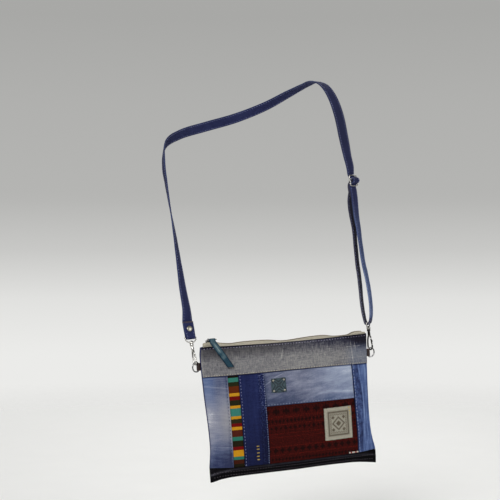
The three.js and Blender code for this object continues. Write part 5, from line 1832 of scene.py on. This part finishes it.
rim = [(x, 0, y) for x, y in rounded_loop(SLIDER_HALF_WIDTH, SLIDER_HALF_LENGTH, 2.6)]
bar = [(x, 0, 0) for x in np.linspace(-SLIDER_HALF_WIDTH, SLIDER_HALF_WIDTH, 12)]
plane = axes(slider_plane(1, 0) - slider_plane(0, 0), slider_plane(0, 1) - slider_plane(0, 0), SLIDER_PLACE)
parts = [wire(rim, SLIDER_WIRE, (0, 1, 0), closed=True, sides=18), wire(bar, SLIDER_BAR, (0, 1, 0), sides=18)]
# the buckle takes the lit nickel: painted bright reflection
buckle = metal("slider_buckle_wire", [placed(p, plane) for p in parts], 0.22, LIT_NICKEL)
dress(buckle, "bag", "nickel", "slider_buckle")
print("rivet at", left_end(RIVET_UP, 0).round(1))

# %% [markdown]
# ## Stitching
# Rows of thread run along the seams. Each row is a line on the cloth, worked out from the same panels, and
# the bead tree lays its stitches half sunk into the cloth.


# %% Lines of the stitches
ROW_HEAD, ROW_FOOT = -45.5, -186.5


def upright_row(panel, line, offset, head=2.0, foot=2.0):
    z = np.linspace(ROW_HEAD - head, ROW_FOOT + foot, 90)
    return hung(front_point(panel, getattr(LINES, line)(z) + offset, z, 0.1))


def level_row(panel, seam, offset, start, end):
    x = np.linspace(start, end, 150)
    return hung(front_point(panel, x, getattr(SEAMS, seam)(x) + offset, 0.1))


def hem_row(share):
    x = np.linspace(-128, 131, 160)
    left, right = EDGES.left(BAND_LEVEL), EDGES.right(BAND_LEVEL)
    u = (x - left - GAP) / (right - left - 2 * GAP)
    points, _ = bottom_band(u, 0 * u + share)
    return hung(points - (0, 0.1, 0))


def strap_rows():
    at = np.array([p for p, _, _ in strap_places])
    edge = np.array([w for _, _, w in strap_places])[:, None] / 2 - 2.3
    lift = STRAP_THICK / 2 - 0.1
    rows = [(way, side) for way in (1, -1) for side in (1, -1)]
    return [(at + strap_side * edge * side + strap_look * lift * way)[6:-16] for way, side in rows]


def satin_bars():
    rows = []
    for x, z in [(-59, -156), (-58.8, -160.6), (-58.6, -166.5), (-58.8, -171.9), (-58.5, -177)]:
        for k in range(8):
            line = np.linspace(z - 1.0, z + 1.0, 3)
            rows.append(hung(front_point("indigo_strip", 0 * line + x - 1.7 + k * 0.48, line, 0.12)))
    return rows


def label_rows():
    square = [(53.6, -112.6), (95.4, -112.6), (95.4, -158.6), (53.6, -158.6), (53.6, -112.6)]
    rows = []
    for (x0, z0), (x1, z1) in zip(square, square[1:]):
        x, z = np.linspace(x0, x1, 30), np.linspace(z0, z1, 30)
        rows.append(hung(np.stack([x, -front_depth(x, z) - PATCH_THICK - GAP - 0.2, z], -1)))
    return rows


def back_rows():
    u = np.linspace(0.08, 0.92, 150)
    rows = []
    for v in (0.018, 0.982):
        points, _ = back_panel(u, 0 * u + v)
        rows.append(hung(points + (0, 0.1, 0)))
    return rows


print("stitch lines ready")

# %% [markdown]
# ## Threads
# The bag is sewn with several threads, so each row of the table has its own thread, pitch and stitch. All
# of them go through the bead tree. The stitches stand for no solid, so they only ride on the bag.

# %% Rows of thread
DASH, DOT = (1.3, 0.52, 0.45), (1.0, 0.5, 0.45)
# Name, lines, thread, pitch, half sizes of one stitch
ROWS = [
    ("top_edge_stitches", [level_row("top_band", "top", -3.2, -132, 130)], LILAC_THREAD, 4.6, DOT),
    ("band_stitches", [level_row("top_band", "band", 2.0, -132, 131)], WARM_THREAD, 4.1, DOT),
    ("ribbon_stitches_left", [upright_row("left_panel", "ribbon_start", -2.6)], NAVY_THREAD, 5.0, DASH),
    ("ribbon_stitches_right", [upright_row("indigo_strip", "ribbon_end", 2.2)], SLATE_THREAD, 4.8, DASH),
    ("print_stitches", [
        upright_row("right_strip", "print_end", 2.3), level_row("centre_panel", "print", 2.2, -38, 102),
    ], BLUE_THREAD, 4.8, DASH),
    ("felled_seam_stitches", [upright_row("indigo_strip", "indigo_end", -1.5)], BLUE_THREAD, 3.7, DOT),
    ("felled_seam_fold_stitches", [upright_row("indigo_strip", "indigo_end", -8.8)], NAVY_THREAD, 3.4, DOT),
    ("hem_stitches", [hem_row(0.09), hem_row(0.22)], SMOKE_THREAD, 4.2, DASH),
    ("back_stitches", back_rows(), BLUE_THREAD, 4.2, DASH),
    ("strap_stitches", strap_rows(), SLATE_THREAD, 4.4, DASH),
    ("label_stitches", label_rows(), WARM_THREAD, 2.6, (1.0, 0.28, 0.28)),
]
x, z = np.linspace(93.9, 94.9, 20), np.linspace(-112.8, -122.5, 20)
corner = hung(np.stack([x, -front_depth(x, z) - PATCH_THICK - GAP - 0.35, z], -1))
ROWS.append(("label_corner_stitches", [corner], YELLOW_THREAD, 3.6, (1.6, 1.4, 0.5)))
for name, lines, material, pitch, half in ROWS:
    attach(beads(name, lines, material, pitch, half), "bag")
bars = beads("gold_bar_tacks", satin_bars(), GOLD_THREAD, 2.5, (0.85, 0.28, 0.42))
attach(bars, "bag")

# %% [markdown]
# ## Floor and room
# The floor is a wide pale disc whose edge fades into the room, so that no horizon shows behind the bag. A
# curved backdrop would hide the horizon too, but it would stand in the way of the views from behind.


# %% Floor and room
FLOOR_RADIUS, FLOOR_LEVEL, FLOOR_SIDES = 3000, -760, 64
FLOOR_FADE = (500.0, 2600.0)


def floor_disc():
    material = begin("pale_floor")
    x, y, _ = in_space()
    far = (x * x + y * y).math("SQRT")
    tree = Shade.tree
    shader = tree.nodes["Principled BSDF"]
    shader.inputs["Roughness"].default_value = 0.8
    grain = noise(x * 0.01, y * 0.01, 3, 3.0)
    tone = ramp(grain * 0.3 + 0.5, (0.0, "#e6e6e4"), (1.0, "#eeeeec"))
    tree.links.new(tone.socket, shader.inputs["Base Color"])
    tree.links.new((1 - far.step(*FLOOR_FADE)).socket, shader.inputs["Alpha"])
    around = np.linspace(0, 2 * math.pi, FLOOR_SIDES + 1)[:-1]
    points = [(FLOOR_RADIUS * math.cos(a), FLOOR_RADIUS * math.sin(a), FLOOR_LEVEL) for a in around]
    return to_mesh("floor", points, [tuple(range(FLOOR_SIDES))], material)


floor_disc()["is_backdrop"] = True
world = bpy.data.worlds.new("room")
world.use_nodes = True
bpy.context.scene.world = world
Shade.tree = world.node_tree
way = Shade.node("TexCoord", {}, {}, out=0)
north, height = (Shade.node("SeparateXYZ", {}, {0: way}, out=i) for i in (1, 2))
room_tones = [
    (0.459, "#ebebe9"), (0.48, "#e1e1df"), (0.5, "#c8c8c6"), (0.521, "#b5b5b3"), (0.56, "#b0b0ae"),
    (0.594, "#a8a8a6"), (1.0, "#c9c9c7"),
]
upper = ramp(height * 0.5 + 0.5, *room_tones)
room = mixed(upper, "#121214", (north * -1).step(-0.6, 0.4) * 0.92)
background = world.node_tree.nodes["Background"]
world.node_tree.links.new(room.socket, background.inputs["Color"])
background.inputs["Strength"].default_value = 1.0
bpy.context.scene.view_settings.view_transform = "Standard"
print("floor and room of", len(room_tones), "tones")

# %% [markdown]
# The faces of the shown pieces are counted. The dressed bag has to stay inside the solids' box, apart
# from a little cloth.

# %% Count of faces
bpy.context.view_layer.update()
faces = sum(len(o.data.polygons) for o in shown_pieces() if o.type == "MESH")
